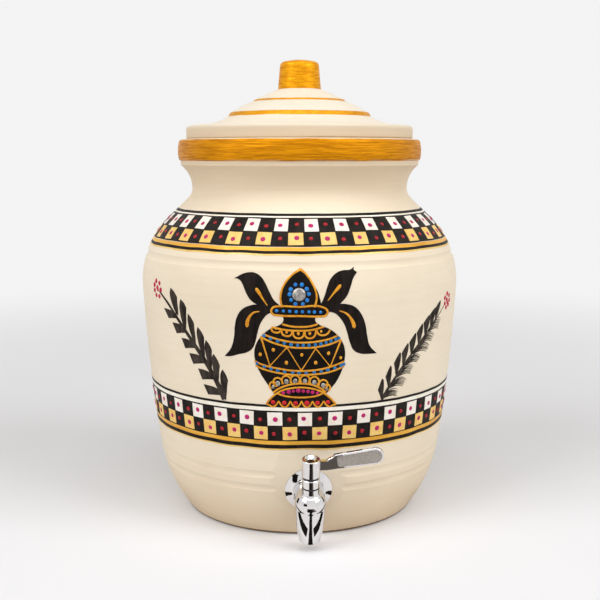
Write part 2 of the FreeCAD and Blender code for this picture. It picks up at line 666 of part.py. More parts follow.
def make_stem():
    """Plug, stem and square in one turned piece. The plug's window faces aside
    when the tap is shut and towards the pot when it is open."""
    body = new_body("valve_stem")
    section = [
        ("plug_bore", "sleeve_bottom + plug_lift"),
        ("plug_radius", "sleeve_bottom + plug_lift"),
        ("plug_radius", "plug_top"),
        ("stem_radius", "plug_top"),
        ("stem_radius", "hub_bottom"),
        ("0", "hub_bottom"),
        ("0", "plug_bore_top"),
        ("plug_bore", "plug_bore_top"),
    ]
    turned(body, "Revolution", "Turned", outline(new_sketch(body, "StemSection"), section))
    lug = sector("plug_radius - 0.5", "skirt_radius - lug_gap", "-lug_angle / 2", "lug_angle / 2")
    sketch = outline(new_sketch(body, "LugShape", "XY_Plane"), lug)
    offset_sketch(sketch, z="plug_top - lug_height")
    padded(body, "StopLug", sketch, "lug_height")
    half = "drive_square / 2"
    square = outline(new_sketch(body, "SquareShape", "XY_Plane"), box_corners(half))
    offset_sketch(square, z="hub_bottom")
    padded(body, "Square", square, "drive_height")
    for index in range(2):
        height = f"ring_first + {index} * ring_pitch"
        wide = "ring_width / 2"
        seat = [("stem_radius - ring_depth", f"{height} - {wide}"),
                ("stem_radius + 1", f"{height} - {wide}"),
                ("stem_radius + 1", f"{height} + {wide}"),
                ("stem_radius - ring_depth", f"{height} + {wide}")]
        sketch = outline(new_sketch(body, f"RingSeatSection{index + 1}"), seat)
        turned(body, "Groove", f"RingSeat{index + 1}", sketch)
    window = circle(new_sketch(body, "WindowShape", "YZ_Plane"), "0", "0", "plug_window")
    pocketed(body, "Window", window, "plug_radius + 1")
    tapped = [("0", "drive_top + 1"), ("0", "drive_top - screw_length + 2.4"),
              ("screw_radius + thread_gap", "drive_top - screw_length + 2.4"),
              ("screw_radius + thread_gap", "drive_top + 1")]
    turned(body, "Groove", "TappedHole", outline(new_sketch(body, "TappedSection"), tapped))
    on_valve(body)


def box_corners(half):
    return [(f"-({half})", f"-({half})"), (half, f"-({half})"), (half, half), (f"-({half})", half)]


def make_stem_rings():
    body = new_body("stem_o_rings")
    for index in range(2):
        wire = circle(new_sketch(body, f"Wire{index + 1}"),
                      "stem_radius - ring_depth + ring_wire + thread_gap / 2",
                      f"ring_first + {index} * ring_pitch", "ring_wire")
        turned(body, "Revolution", f"Ring{index + 1}", wire)
    on_valve(body)


def make_valve():
    ring_piece("bonnet_seal", "skirt_radius + skirt_gap / 2", "bonnet_radius - seal_inset",
               "boss_top", "bonnet_seat", on_valve)
    ring_piece("sleeve_seal", "plug_radius + plug_gap", "chamber_radius - sleeve_gap",
               "-chamber_drop", "sleeve_bottom", on_valve)
    ring_piece("thrust_washer", "stem_bore", "plug_radius", "plug_top", "bonnet_step", on_valve)
    ring_piece("glide_washer", "stem_bore", "glide_radius", "bonnet_top", "hub_bottom", on_valve)
    make_bonnet()
    make_sleeve()
    make_stem()
    make_stem_rings()


# Lever

def plate_point(along, across):
    """A place on the plate: along its rising middle line and square to it."""
    return (f"plate_start + ({along}) * cos(plate_rise) - ({across}) * sin(plate_rise)",
            f"plate_middle + ({along}) * sin(plate_rise) + ({across}) * cos(plate_rise)")


def make_lever():
    """Round hub with a dished top, and an arm that swells into an upright plate."""
    body = new_body("lever")
    hub = [
        ("0", "hub_bottom"),
        ("hub_radius - hub_edge", "hub_bottom"),
        ("hub_radius", "hub_bottom + hub_edge"),
        ("hub_radius", "hub_top - hub_edge", "right", "hub_edge"),
        ("hub_radius - hub_edge", "hub_top"),
        ("hub_radius - hub_lip", "hub_top", "right", "2 * hub_radius"),
        ("screw_head_radius + 0.5", "hub_top - hub_dish"),
        ("0", "hub_top - hub_dish"),
    ]
    turned(body, "Revolution", "Hub", outline(new_sketch(body, "HubSection"), hub))

    arm = [
        ("hub_radius - hub_lip - 0.4", "arm_low"),
        ("hub_radius + 1", "arm_low", "right", "60"),
        plate_point("0", "-plate_half_start"),
        (*plate_point("plate_length", "-plate_half_end"), "right", "plate_half_end * 1.001"),
        (*plate_point("plate_length", "plate_half_end"),),
        (*plate_point("0", "plate_half_start"), "left", "plate_half_start"),
        ("(arm_bend + plate_start) / 2 - 0.3", "(arm_high + plate_middle + plate_half_start) / 2 - 0.1",
         "right", "plate_half_start"),
        ("arm_bend", "arm_high"),
        ("hub_radius - hub_lip - 0.4", "arm_high"),
    ]
    sketch = outline(new_sketch(body, "ArmShape"), arm)
    padded(body, "Arm", sketch, "plate_thickness", both_ways=True)
    soften_plate(body)

    border = "plate_border"
    low = f"plate_half_start - {border}"
    face = [
        (*plate_point(f"{border}", f"-({low} - plate_corner)"), "right", "plate_corner"),
        plate_point(f"{border} + plate_corner", f"-({low})"),
        (*plate_point("plate_length", f"-(plate_half_end - {border})"),
         "right", f"(plate_half_end - {border}) * 1.001"),
        plate_point("plate_length", f"plate_half_end - {border}"),
        (*plate_point(f"{border} + plate_corner", low), "right", "plate_corner"),
        plate_point(f"{border}", f"{low} - plate_corner"),
    ]
    sketch = outline(new_sketch(body, "FaceShape"), face)
    offset_sketch(sketch, z="plate_thickness / 2")
    pocketed(body, "BareFace", sketch, "plate_recess")

    half = "drive_square / 2 + drive_gap"
    socket = outline(new_sketch(body, "SocketShape", "XY_Plane"), box_corners(half))
    offset_sketch(socket, z="hub_bottom")
    pocketed(body, "Socket", socket, "drive_height + 0.3", reverse=True)
    hole = [
        ("0", "drive_top"),
        ("screw_radius + screw_gap", "drive_top"),
        ("screw_radius + screw_gap", "screw_seat"),
        ("screw_head_radius + screw_gap", "screw_seat"),
        ("screw_head_radius + screw_gap", "hub_top"),
        ("0", "hub_top"),
    ]
    turned(body, "Groove", "ScrewHole", outline(new_sketch(body, "ScrewHoleSection"), hole))
    on_valve(body)


def soften_plate(body):
    """Round the long edges of arm and plate, front and back."""
    half = number("plate_thickness") / 2
    clear = number("hub_radius") + 0.5
    solid = body.Tip
    names = []
    for index, edge in enumerate(solid.Shape.Edges, start=1):
        box = edge.BoundBox
        flat = abs(box.YMax - box.YMin) < 1e-3 and abs(abs(box.YMax) - half) < 1e-3
        if flat and box.XMin > clear:
            names.append(f"Edge{index}")
    fillet = body.newObject("PartDesign::Fillet", "PlateEdges")
    fillet.Base = (solid, names)
    fillet.setExpression("Radius", bind("plate_edge"))
    doc.recompute()


def make_lever_screw():
    """Small screw in the middle of the hub's dish, with a cross in its head."""
    body = new_body("lever_screw")
    section = [
        ("0", "screw_seat - screw_length"),
        ("screw_radius", "screw_seat - screw_length"),
        ("screw_radius", "screw_seat"),
        ("screw_head_radius", "screw_seat"),
        ("screw_head_radius", "screw_seat + 0.6 * screw_head_height", "right", "screw_head_radius"),
        ("screw_head_radius / 2", "screw_seat + screw_head_height"),
        ("0", "screw_seat + screw_head_height"),
    ]
    turned(body, "Revolution", "Turned", outline(new_sketch(body, "ScrewSection"), section))
    near, far = "screw_slot / 2", "0.62 * screw_head_radius"
    cross = []
    for turn in range(4):
        for along, across in ((near, f"-({far})"), (near, f"-({near})"), (far, f"-({near})")):
            cross.append((f"({along}) * cos({90 * turn}) - ({across}) * sin({90 * turn})",
                          f"({along}) * sin({90 * turn}) + ({across}) * cos({90 * turn})"))
    sketch = outline(new_sketch(body, "CrossShape", "XY_Plane"), cross)
    offset_sketch(sketch, z="screw_seat + screw_head_height")
    pocketed(body, "Cross", sketch, "0.55 * screw_head_height")
    on_valve(body)


def check_and_write():
    """Every object built, every piece one valid solid or group, then the files."""
    for item in doc.Objects:
        if any(word in ("Invalid", "Error") for word in item.State):
            raise RuntimeError(f"{item.Name} of {getattr(item, 'Label', '')}: {item.State}")
    os.makedirs("parts", exist_ok=True)
    for body in PIECES:
        if body.Shape.isNull() or not body.Shape.isValid():
            raise RuntimeError(f"{body.Label} has no valid shape")
        body.Shape.exportStep(f"parts/{body.Label}.step")
        box = body.Shape.BoundBox
        print(f"{body.Label}: {len(body.Shape.Solids)} solid, {body.Shape.Volume:.0f} mm3, "
              f"z {box.ZMin:.1f} to {box.ZMax:.1f}")


fill_sheet()
make_pot()
make_lid()
make_clamping()
make_tap_body()
make_valve()
make_lever()
make_lever_screw()
check_and_write()
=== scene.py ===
"""Looks of a clay water pot with a tap: painted clay, chequer bands, a kalash between mango leaves and two
sprigs, gilded rim, lid and knob, and a polished lever tap."""
import json
import math
import random

import bmesh
import bpy
from mathutils import Matrix, Vector, noise
from mathutils.bvhtree import BVHTree


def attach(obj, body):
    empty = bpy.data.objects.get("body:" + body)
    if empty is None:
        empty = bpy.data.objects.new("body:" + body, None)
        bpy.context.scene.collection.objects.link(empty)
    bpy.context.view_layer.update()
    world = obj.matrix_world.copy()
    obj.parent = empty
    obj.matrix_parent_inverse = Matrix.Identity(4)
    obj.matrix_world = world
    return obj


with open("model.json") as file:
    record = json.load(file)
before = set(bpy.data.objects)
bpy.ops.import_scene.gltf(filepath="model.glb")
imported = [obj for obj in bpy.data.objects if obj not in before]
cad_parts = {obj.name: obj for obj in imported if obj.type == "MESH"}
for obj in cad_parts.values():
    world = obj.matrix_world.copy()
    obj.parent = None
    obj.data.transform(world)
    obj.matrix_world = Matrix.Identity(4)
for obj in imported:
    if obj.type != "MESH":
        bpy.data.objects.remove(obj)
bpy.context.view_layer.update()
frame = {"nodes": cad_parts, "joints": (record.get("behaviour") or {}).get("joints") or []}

MM = 0.001
# The painted front looks a little to the left of the tap: its azimuth round the pot's axis from -Y.
FRONT = math.radians(-3.5)
# The drawing is laid out in mm on a board; this radius turns a distance across it into an angle.
GIRTH = 140.0
# Paint films reach this far into the clay, so that no facet of the wall shows through them.
ROOT = 0.3
FILM = 0.18
LINE_FLATNESS = 0.34
DOT_FLATNESS = 0.32
HAND_SWAY = 0.28
HAND_WAVES = 55.0

pot_wall = frame["nodes"]["pot_body"]
lid_clay_body = frame["nodes"]["lid"]
lever_casting = frame["nodes"]["lever"]


# The shape of the packed clay, read with rays

TABLE_STEP = 0.25


def ray_tree(node):
    return BVHTree.FromPolygons([v.co for v in node.data.vertices], [p.vertices for p in node.data.polygons])


def read_wall():
    """The pot's outer radius in mm at every quarter of a millimetre of height, read behind the tap's flat."""
    tree = ray_tree(pot_wall)
    radii = []
    for index in range(int(328.25 / TABLE_STEP) + 1):
        height = max(index * TABLE_STEP, 0.3) * MM
        reach = []
        for turn in range(16):
            angle = math.pi / 2 + math.pi * (turn + 0.37) / 16
            out = Vector((math.sin(angle), -math.cos(angle), 0))
            hit = tree.ray_cast(out * 0.4 + Vector((0, 0, height)), -out)[0]
            if hit:
                reach.append(hit.xy.length / MM)
        radii.append(max(reach))
    low, high = (tree.ray_cast(Vector((0.012, -0.4, z)), Vector((0, 1, 0)))[0] for z in (0.03, 0.085))
    slope = (high.y - low.y) / (high.z - low.z)
    return radii, (-low.y + slope * low.z) / MM, -slope


def read_lid():
    """The height in mm of the lid's upper skin at every quarter of a millimetre of radius."""
    tree = ray_tree(lid_clay_body)
    heights = []
    for index in range(int(100 / TABLE_STEP) + 1):
        reach = []
        for turn in range(12):
            angle = 2 * math.pi * (turn + 0.37) / 12
            spot = Vector((math.cos(angle), math.sin(angle), 0)) * index * TABLE_STEP * MM
            hit = tree.ray_cast(spot + Vector((0, 0, 0.6)), Vector((0, 0, -1)))[0]
            if hit:
                reach.append(hit.z / MM)
        heights.append(max(reach))
    return heights


WALL, PAD_DISTANCE, PAD_SLOPE = read_wall()
LID = read_lid()


def looked_up(table, value):
    place = min(max(value / TABLE_STEP, 0), len(table) - 1.001)
    low = int(place)
    return table[low] + (table[low + 1] - table[low]) * (place - low)


def wall_radius(height, angle):
    """Outer radius in mm at a height and an azimuth from -Y, with the flat pressed for the tap."""
    radius = looked_up(WALL, height)
    angle = (angle + math.pi) % (2 * math.pi) - math.pi
    if abs(angle) < 0.5:
        radius = min(radius, (PAD_DISTANCE + PAD_SLOPE * height) / math.cos(angle))
    return radius


def on_wall(across, height, lift):
    angle = FRONT + across / GIRTH
    radius = wall_radius(height, angle) + lift
    return Vector((radius * math.sin(angle), -radius * math.cos(angle), height)) * MM


def wall_steepness(height):
    """How much height one millimetre along the wall climbs there."""
    run = looked_up(WALL, height + 1) - looked_up(WALL, height - 1)
    return 2 / math.hypot(run, 2)


# Blender's tools, as they are used on the drawing board: x across, y height and z lift, in mm

def clear_selection():
    if bpy.context.object and bpy.context.object.mode != "OBJECT":
        bpy.ops.object.mode_set(mode="OBJECT")
    bpy.ops.object.select_all(action="DESELECT")


def take(piece):
    clear_selection()
    piece.select_set(True)
    bpy.context.view_layer.objects.active = piece
    return piece


def edit_all(piece):
    take(piece)
    bpy.ops.object.mode_set(mode="EDIT")
    bpy.ops.mesh.select_all(action="SELECT")


def end_edit():
    bpy.ops.object.mode_set(mode="OBJECT")


def added(name, operator, **settings):
    clear_selection()
    operator(**settings)
    piece = bpy.context.object
    piece.name = piece.data.name = name
    return piece


def apply_modifier(piece, kind, **settings):
    take(piece)
    modifier = piece.modifiers.new(kind.lower(), kind)
    for key, value in settings.items():
        setattr(modifier, key, value)
    bpy.ops.object.modifier_apply(modifier=modifier.name)


def wrap(piece, sway=HAND_SWAY):
    """Lays a piece from the drawing board round the wall, with the small wander of a painter's hand."""
    for vertex in piece.data.vertices:
        across, height, lift = vertex.co / MM
        drift = noise.noise_vector(on_wall(across, height, 0) * HAND_WAVES) * sway
        vertex.co = on_wall(across + drift.x, height + drift.y, lift)
    return piece


def finished(piece, finish, body="pot", slot="painted_clay", angle=35):
    take(piece)
    bpy.ops.object.shade_smooth_by_angle(angle=math.radians(angle))
    piece.data.materials.clear()
    piece.data.materials.append(finish)
    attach(piece, body)
    return piece


def knotted(name, lines, closed, handle="AUTO"):
    """Bezier lines on the board through (x, y) points; a third value T makes a sharp corner, a number sets
    the line's thickness there."""
    tool = bpy.ops.curve.primitive_bezier_circle_add if closed else bpy.ops.curve.primitive_bezier_curve_add
    line = added(name, tool, location=(0, 0, 0))
    line.data.splines.clear()
    for points in lines:
        spline = line.data.splines.new("BEZIER")
        spline.bezier_points.add(len(points) - 1)
        spline.use_cyclic_u = closed
        for knot, point in zip(spline.bezier_points, points):
            knot.co = (point[0] * MM, point[1] * MM, 0)
            corner = len(point) > 2 and point[2] is T
            knot.handle_left_type = knot.handle_right_type = "VECTOR" if corner else handle
            if len(point) > 2 and point[2] is not T:
                knot.radius = point[2]
    return line


T = "corner"


def filled(name, outlines, finish, lift=FILM, grid=4.0, **extra):
    """Closed outlines filled with a thin film of paint and laid on the wall."""
    sheet = knotted(name, outlines, True)
    sheet.data.dimensions = "3D"
    sheet.data.resolution_u = 6
    take(sheet)
    bpy.ops.object.convert(target="MESH")
    parts = []
    edit_all(sheet)
    bpy.ops.mesh.remove_doubles(threshold=0.00002)
    bpy.ops.mesh.separate(type="LOOSE")
    end_edit()
    parts = list(bpy.context.selected_objects)
    for part in parts:
        edit_all(part)
        bpy.ops.mesh.edge_face_add()
        end_edit()
        if part.data.polygons[0].normal.z < 0:
            edit_all(part)
            bpy.ops.mesh.flip_normals()
            end_edit()
        corners = [v.co / MM for v in part.data.vertices]
        for axis in (0, 1):
            low, high = min(c[axis] for c in corners), max(c[axis] for c in corners)
            cuts = int((high - low) / grid)
            for cut in range(1, cuts + 1):
                spot, normal = [0, 0, 0], [0, 0, 0]
                spot[axis], normal[axis] = (low + (high - low) * cut / (cuts + 1)) * MM, 1
                edit_all(part)
                bpy.ops.mesh.bisect(plane_co=spot, plane_no=normal)
                end_edit()
    clear_selection()
    for part in parts:
        part.select_set(True)
    bpy.context.view_layer.objects.active = parts[0]
    if len(parts) > 1:
        bpy.ops.object.join()
    sheet = bpy.context.object
    sheet.name = sheet.data.name = name
    for vertex in sheet.data.vertices:
        vertex.co.z = lift * MM
    apply_modifier(sheet, "SOLIDIFY", thickness=(lift + ROOT) * MM, offset=-1.0)
    return finished(wrap(sheet), finish, **extra)


def stroked(name, lines, finish, width, lift=FILM, closed=False, handle="AUTO", **extra):
    """Painted lines: round beads of paint, flattened and half sunk in the film below."""
    line = knotted(name, lines, closed, handle)
    line.data.dimensions = "3D"
    line.data.twist_mode = "Z_UP"
    line.data.resolution_u = 7
    line.data.bevel_depth = width / 2 * MM
    line.data.bevel_resolution = 1
    line.data.use_fill_caps = not closed
    take(line)
    bpy.ops.object.convert(target="MESH")
    for vertex in line.data.vertices:
        vertex.co.z = vertex.co.z * LINE_FLATNESS + lift * MM
    edit_all(line)
    bpy.ops.mesh.remove_doubles(threshold=0.00001)
    bpy.ops.mesh.normals_make_consistent(inside=False)
    end_edit()
    return finished(wrap(line), finish, **extra)


def repeated(name, template, places):
    """One mesh of many copies of a template, each at its own place."""
    stack = bmesh.new()
    for place in places:
        start = len(stack.verts)
        stack.from_mesh(template.data)
        stack.verts.ensure_lookup_table()
        bmesh.ops.transform(stack, matrix=place, verts=stack.verts[start:])
    mesh = bpy.data.meshes.new(name)
    stack.to_mesh(mesh)
    stack.free()
    piece = bpy.data.objects.new(name, mesh)
    bpy.context.scene.collection.objects.link(piece)
    return piece


def dotted(name, spots, finish, radius, lift=FILM, segments=12, rings=6, tall=1.0, **extra):
    """Dabs of paint: low domes, each a little different in size."""
    dome = added(name + "_dab", bpy.ops.mesh.primitive_uv_sphere_add, radius=radius * MM, segments=segments,
                 ring_count=rings, location=(0, 0, 0))
    hand = random.Random(name)
    places = []
    for across, height, *size in spots:
        scale = (size[0] if size else 1) * hand.uniform(0.92, 1.08)
        round_the_wall = GIRTH / looked_up(WALL, height)
        up_the_wall = wall_steepness(height)
        stretch = Matrix.Diagonal((scale * round_the_wall, scale * up_the_wall * tall, DOT_FLATNESS, 1))
        places.append(Matrix.Translation(Vector((across, height, lift)) * MM) @ stretch)
    piece = repeated(name, dome, places)
    bpy.data.objects.remove(dome)
    return finished(wrap(piece), finish, angle=60, **extra)


def spun(name, outline, steps):
    """A closed outline of (radius, height) points in mm, spun once round the pot's axis."""
    ring = added(name, bpy.ops.mesh.primitive_circle_add, vertices=len(outline), radius=0.01, location=(0, 0, 0))
    for vertex, (radius, height) in zip(ring.data.vertices, outline):
        vertex.co = Vector((radius, 0, height)) * MM
    edit_all(ring)
    bpy.ops.mesh.spin(steps=steps, angle=2 * math.pi, center=(0, 0, 0), axis=(0, 0, 1))
    bpy.ops.mesh.select_all(action="SELECT")
    bpy.ops.mesh.remove_doubles(threshold=0.000001)
    bpy.ops.mesh.normals_make_consistent(inside=False)
    end_edit()
    return ring


def stripe_outline(low, high, lift, spacing):
    """The cut through a stripe of paint, at a made-up radius that the wall's radius then replaces."""
    count = max(int((high - low) / spacing), 1)
    heights = [low + (high - low) * step / count for step in range(count + 1)]
    return [(BARREL + lift, height) for height in heights] + [(BARREL - ROOT, h) for h in reversed(heights)]


BARREL = 100.0


def stripe(name, low, high, finish, lift=FILM, sway=HAND_SWAY, steps=240, spacing=3.0, relief=None):
    """A stripe of paint all the way round the pot, laid on the wall."""
    ring = spun(name, stripe_outline(low, high, lift, spacing), steps)
    for vertex in ring.data.vertices:
        angle = math.atan2(vertex.co.x, -vertex.co.y)
        out = vertex.co.xy.length / MM - BARREL
        vertex.co = Vector(((angle - FRONT) * GIRTH, vertex.co.z / MM, out)) * MM
        if relief and out > 0:
            spot = on_wall((angle - FRONT) * GIRTH, vertex.co.y / MM, 0)
            vertex.co.z += relief(spot) * MM
    return finished(wrap(ring, sway), finish)


def chequers(name, spots, finish, size, lift, cells):
    """Painted squares with the uneven corners of brushwork."""
    square = added(name + "_patch", bpy.ops.mesh.primitive_grid_add, x_subdivisions=cells, y_subdivisions=cells,
                   size=1 * MM, location=(0, 0, 0))
    for vertex in square.data.vertices:
        vertex.co.z = lift * MM
    apply_modifier(square, "SOLIDIFY", thickness=(lift + ROOT) * MM, offset=-1.0)
    hand = random.Random(name)
    places = []
    for across, height in spots:
        turn = Matrix.Rotation(math.radians(hand.uniform(-1.6, 1.6)), 4, "Z")
        stretch = Matrix.Diagonal((size[0] * hand.uniform(0.95, 1.05), size[1] * hand.uniform(0.97, 1.02), 1, 1))
        spot = Vector((across + hand.uniform(-0.25, 0.25), height + hand.uniform(-0.12, 0.12), 0)) * MM
        places.append(Matrix.Translation(spot) @ turn @ stretch)
    piece = repeated(name, square, places)
    bpy.data.objects.remove(square)
    return finished(wrap(piece), finish)


# Shader values written as Python expressions

class Value:
    """One shader socket. Arithmetic on it adds Math nodes."""

    def __init__(self, finish, socket):
        self.finish, self.socket = finish, socket

    def math(self, operation, *others):
        return self.finish.node("ShaderNodeMath", {"operation": operation}, [self, *others])

    def __add__(self, other):
        return self.math("ADD", other)

    __radd__ = __add__

    def __sub__(self, other):
        return self.math("SUBTRACT", other)

    def __rsub__(self, other):
        return self.finish.node("ShaderNodeMath", {"operation": "SUBTRACT"}, [other, self])

    def __mul__(self, other):
        return self.math("MULTIPLY", other)

    __rmul__ = __mul__

    def between(self, low, high, new_low=0.0, new_high=1.0):
        """The value mapped from one range to another, smoothly and clamped."""
        return self.finish.node("ShaderNodeMapRange", {"interpolation_type": "SMOOTHSTEP"},
                                [self, low, high, new_low, new_high])


class Finish:
    """A surface finish: one Principled shader and the nodes that feed it."""

    def __init__(self, name, **constants):
        self.material = bpy.data.materials.new(name)
        self.material.use_nodes = True
        self.tree = self.material.node_tree
        self.tree.nodes.clear()
        self.output = self.tree.nodes.new("ShaderNodeOutputMaterial")
        self.shader = self.tree.nodes.new("ShaderNodeBsdfPrincipled")
        self.tree.links.new(self.shader.outputs[0], self.output.inputs["Surface"])
        for key, value in constants.items():
            self.shader.inputs[key.replace("_", " ")].default_value = value

    def node(self, kind, settings, values, output=0):
        node = self.tree.nodes.new(kind)
        for key, value in settings.items():
            if key == "stops":
                for index, (place, colour) in enumerate(value):
                    stop = node.color_ramp.elements[index] if index < 2 else node.color_ramp.elements.new(place)
                    stop.position, stop.color = place, colour
            else:
                setattr(node, key, value)
        pairs = values.items() if isinstance(values, dict) else enumerate(values)
        for key, value in pairs:
            if isinstance(value, Value):
                self.tree.links.new(value.socket, node.inputs[key])
            elif value is not None:
                node.inputs[key].default_value = value
        return Value(self, node.outputs[output])

    def place(self, stretch=(1, 1, 1), turn=(0, 0, 0)):
        spot = self.node("ShaderNodeTexCoord", {}, [], "Object")
        return self.node("ShaderNodeMapping", {}, {"Vector": spot, "Scale": stretch, "Rotation": turn})

    def noise(self, scale, detail=3.0, rough=0.55, stretch=(1, 1, 1), warp=0.0):
        return self.node("ShaderNodeTexNoise", {}, {"Vector": self.place(stretch), "Scale": scale,
                                                    "Detail": detail, "Roughness": rough, "Distortion": warp})

    def mix(self, share, first, second):
        return self.node("ShaderNodeMix", {"data_type": "RGBA"}, {0: share, 6: first, 7: second}, 2)

    def feed(self, socket, value):
        self.tree.links.new(value.socket, self.shader.inputs[socket])

    def bump(self, height, distance, strength=1.0):
        """Relief of the given depth in mm."""
        relief = self.node("ShaderNodeBump", {}, {"Strength": strength, "Distance": distance * MM, "Height": height})
        self.feed("Normal", relief)


def tone(red, green, blue):
    """A colour as it is seen on a screen, turned into the shader's linear one."""
    linear = [c / 255 / 12.92 if c <= 10.31 else ((c / 255 + 0.055) / 1.055) ** 2.4 for c in (red, green, blue)]
    return (*linear, 1.0)


def clay_paint(name, light, shade, painted_shade_colour, below, above=None, foot_contact_shade=None):
    """Matt distemper brushed over thrown clay: faint rings from the wheel, brush lines and fine tooth.

    It is painted darker and warmer as painted shade low down and high up, where shade falls: below and above are pairs
    of heights in metres and the share of painted shade there.
    """
    clay = Finish(name, Specular_IOR_Level=0.2)
    mottle = clay.noise(9, 4, 0.6)
    brushed = clay.noise(60, 4, 0.6, stretch=(0.25, 0.25, 4))
    tooth = clay.noise(900, 3, 0.6)
    colour = clay.mix(mottle.between(0.35, 0.7) * 0.65 + brushed.between(0.4, 0.7) * 0.28, light, shade)
    height = clay.node("ShaderNodeSeparateXYZ", {}, [clay.place()], "Z")
    # Painted shade: below the first pair of heights the clay turns darker and warmer, towards the pot's foot and on the
    # lid's flange side.
    colour = clay.mix(height.between(below[0], below[1], below[2], 0.0), colour, painted_shade_colour)
    # Painted shade under the rim: above the second pair of heights the clay turns darker and warmer.
    if above:
        colour = clay.mix(height.between(above[0], above[1], 0.0, above[2]), colour, painted_shade_colour)
    # Painted contact shade: a dark brown band round the lowest 3 mm of the wall, where the pot meets the floor.
    if foot_contact_shade:
        colour = clay.mix((height + mottle * 0.0012).between(0.0022, 0.0034), foot_contact_shade, colour)
    clay.feed("Base Color", colour)
    clay.feed("Roughness", brushed.between(0.3, 0.75, 0.5, 0.66))
    clay.bump(brushed * 0.6 + tooth * 0.25 + clay.noise(28, 2, 0.5, stretch=(0.3, 0.3, 3)) * 0.8, 0.22)
    return clay.material


def brush_paint(name, light, shade, rough=0.42, metal=0.0, grain=140, depth=0.06, stretch=(1, 1, 1), shine=0.25):
    """Enamel put on with a small brush: patchy cover, soft streaks and a slightly uneven gloss."""
    paint = Finish(name, Metallic=metal, Specular_IOR_Level=shine)
    cover = paint.noise(grain, 4, 0.6, stretch=stretch)
    dabs = paint.noise(grain * 3.2, 3, 0.5, stretch=stretch)
    paint.feed("Base Color", paint.mix(cover.between(0.35, 0.68), light, shade))
    paint.feed("Roughness", dabs.between(0.3, 0.7, rough - 0.08, rough + 0.1))
    paint.bump(cover * 0.7 + dabs * 0.3, depth)
    return paint.material


def gilding_paint(name, light, shade, grain, stretch, depth):
    """Gold bronze paint with the drag lines of a wide brush."""
    gold = Finish(name, Specular_IOR_Level=0.06)
    drag = gold.noise(grain, 5, 0.62, stretch=stretch, warp=0.7)
    flakes = gold.noise(2200, 2, 0.5)
    gold.feed("Base Color", gold.mix(drag.between(0.36, 0.66), light, shade))
    gold.feed("Metallic", flakes.between(0.3, 0.7, 0.2, 0.42))
    gold.feed("Roughness", drag.between(0.35, 0.7, 0.34, 0.5))
    gold.bump(drag + flakes * 0.08, depth)
    return gold.material


def bare_metal(name, colour, rough, scuffs, depth, waves=0.0):
    """Metal with faint polishing marks and cloudy gloss."""
    metal = Finish(name, Metallic=1.0)
    clouds = metal.noise(130, 3, 0.55)
    marks = metal.noise(420, 4, 0.6, stretch=(1, 1, 6)) + metal.noise(110, 2, 0.5) * waves
    metal.feed("Base Color", metal.mix(clouds.between(0.3, 0.75), colour, tuple(c * 0.93 for c in colour[:3]) + (1,)))
    metal.feed("Roughness", clouds.between(0.3, 0.75, rough, rough + scuffs))
    metal.bump(marks, depth)
    return metal.material


def moulded(name, light, shade, rough, grain, depth):
    """Moulded rubber or plastic with a fine skin."""
    skin = Finish(name)
    fine = skin.noise(grain, 3, 0.55)
    skin.feed("Base Color", skin.mix(fine.between(0.35, 0.7), light, shade))
    skin.feed("Roughness", fine.between(0.3, 0.7, rough - 0.06, rough + 0.08))
    skin.bump(fine, depth)
    return skin.material


# Painted shade: a darker, warmer cream that the clay turns to towards the pot's foot, under the rim and down the lid's
# flange side; the dark brown is painted contact shade round the foot.
painted_shade_cream = tone(214, 187, 150)
cream_clay = clay_paint("cream_painted_clay", tone(238, 225, 203), tone(230, 215, 191), painted_shade_cream,
                        (0.0, 0.075, 0.55), (0.266, 0.296, 0.5), tone(122, 96, 70))
lid_cream = clay_paint("cream_painted_lid", tone(235, 226, 209), tone(229, 218, 199), painted_shade_cream,
                       (0.3355, 0.3415, 0.6))
gilt_rim = gilding_paint("gilded_rim", tone(222, 147, 10), tone(176, 108, 2), 190, (0.22, 0.22, 5.0), 0.6)
gilt_lid = gilding_paint("gilded_lid_rings", tone(226, 158, 30), tone(206, 138, 18), 260, (0.5, 0.5, 1), 0.12)
gilt_knob = gilding_paint("gilded_knob", tone(240, 168, 22), tone(204, 130, 8), 300, (0.35, 0.35, 2.4), 0.3)
black_paint = brush_paint("black_band_paint", tone(36, 30, 26), tone(18, 14, 11), 0.5, grain=110, depth=0.09,
                          shine=0.1)
ink_paint = brush_paint("black_kalash_paint", tone(26, 20, 16), tone(14, 9, 6), 0.5, grain=90, depth=0.07,
                        shine=0.08)
leaf_paint = brush_paint("black_leaf_paint", tone(32, 25, 22), tone(16, 11, 9), 0.5, grain=120, depth=0.08,
                         stretch=(1.5, 1.5, 0.4), shine=0.08)
sprig_paint = brush_paint("grey_black_sprig_paint", tone(66, 58, 52), tone(30, 24, 20), 0.5, grain=170,
                          depth=0.07, stretch=(1.4, 1.4, 0.5), shine=0.1)
thin_paint = brush_paint("thinned_black_paint", tone(176, 166, 146), tone(214, 204, 180), 0.5, grain=420,
                         depth=0.05, stretch=(1, 1, 2.5))
white_paint = brush_paint("white_square_paint", tone(246, 240, 232), tone(238, 226, 212), 0.45, grain=120, depth=0.06)
line_white = brush_paint("white_line_paint", tone(247, 243, 232), tone(238, 230, 212), 0.45, grain=80, depth=0.05)
yellow_paint = brush_paint("cream_yellow_square_paint", tone(243, 208, 126), tone(236, 190, 104), 0.45, grain=120,
                           depth=0.06)
stripe_gold = brush_paint("gold_stripe_paint", tone(236, 180, 70), tone(222, 158, 48), 0.36, 0.25, grain=90,
                          depth=0.09, stretch=(0.4, 0.4, 2.5))
pale_gold = brush_paint("pale_gold_line_paint", tone(238, 206, 128), tone(228, 186, 96), 0.4, 0.15, grain=90)
line_gold = brush_paint("gold_line_paint", tone(230, 162, 44), tone(205, 132, 26), 0.35, 0.2, grain=260, depth=0.08)
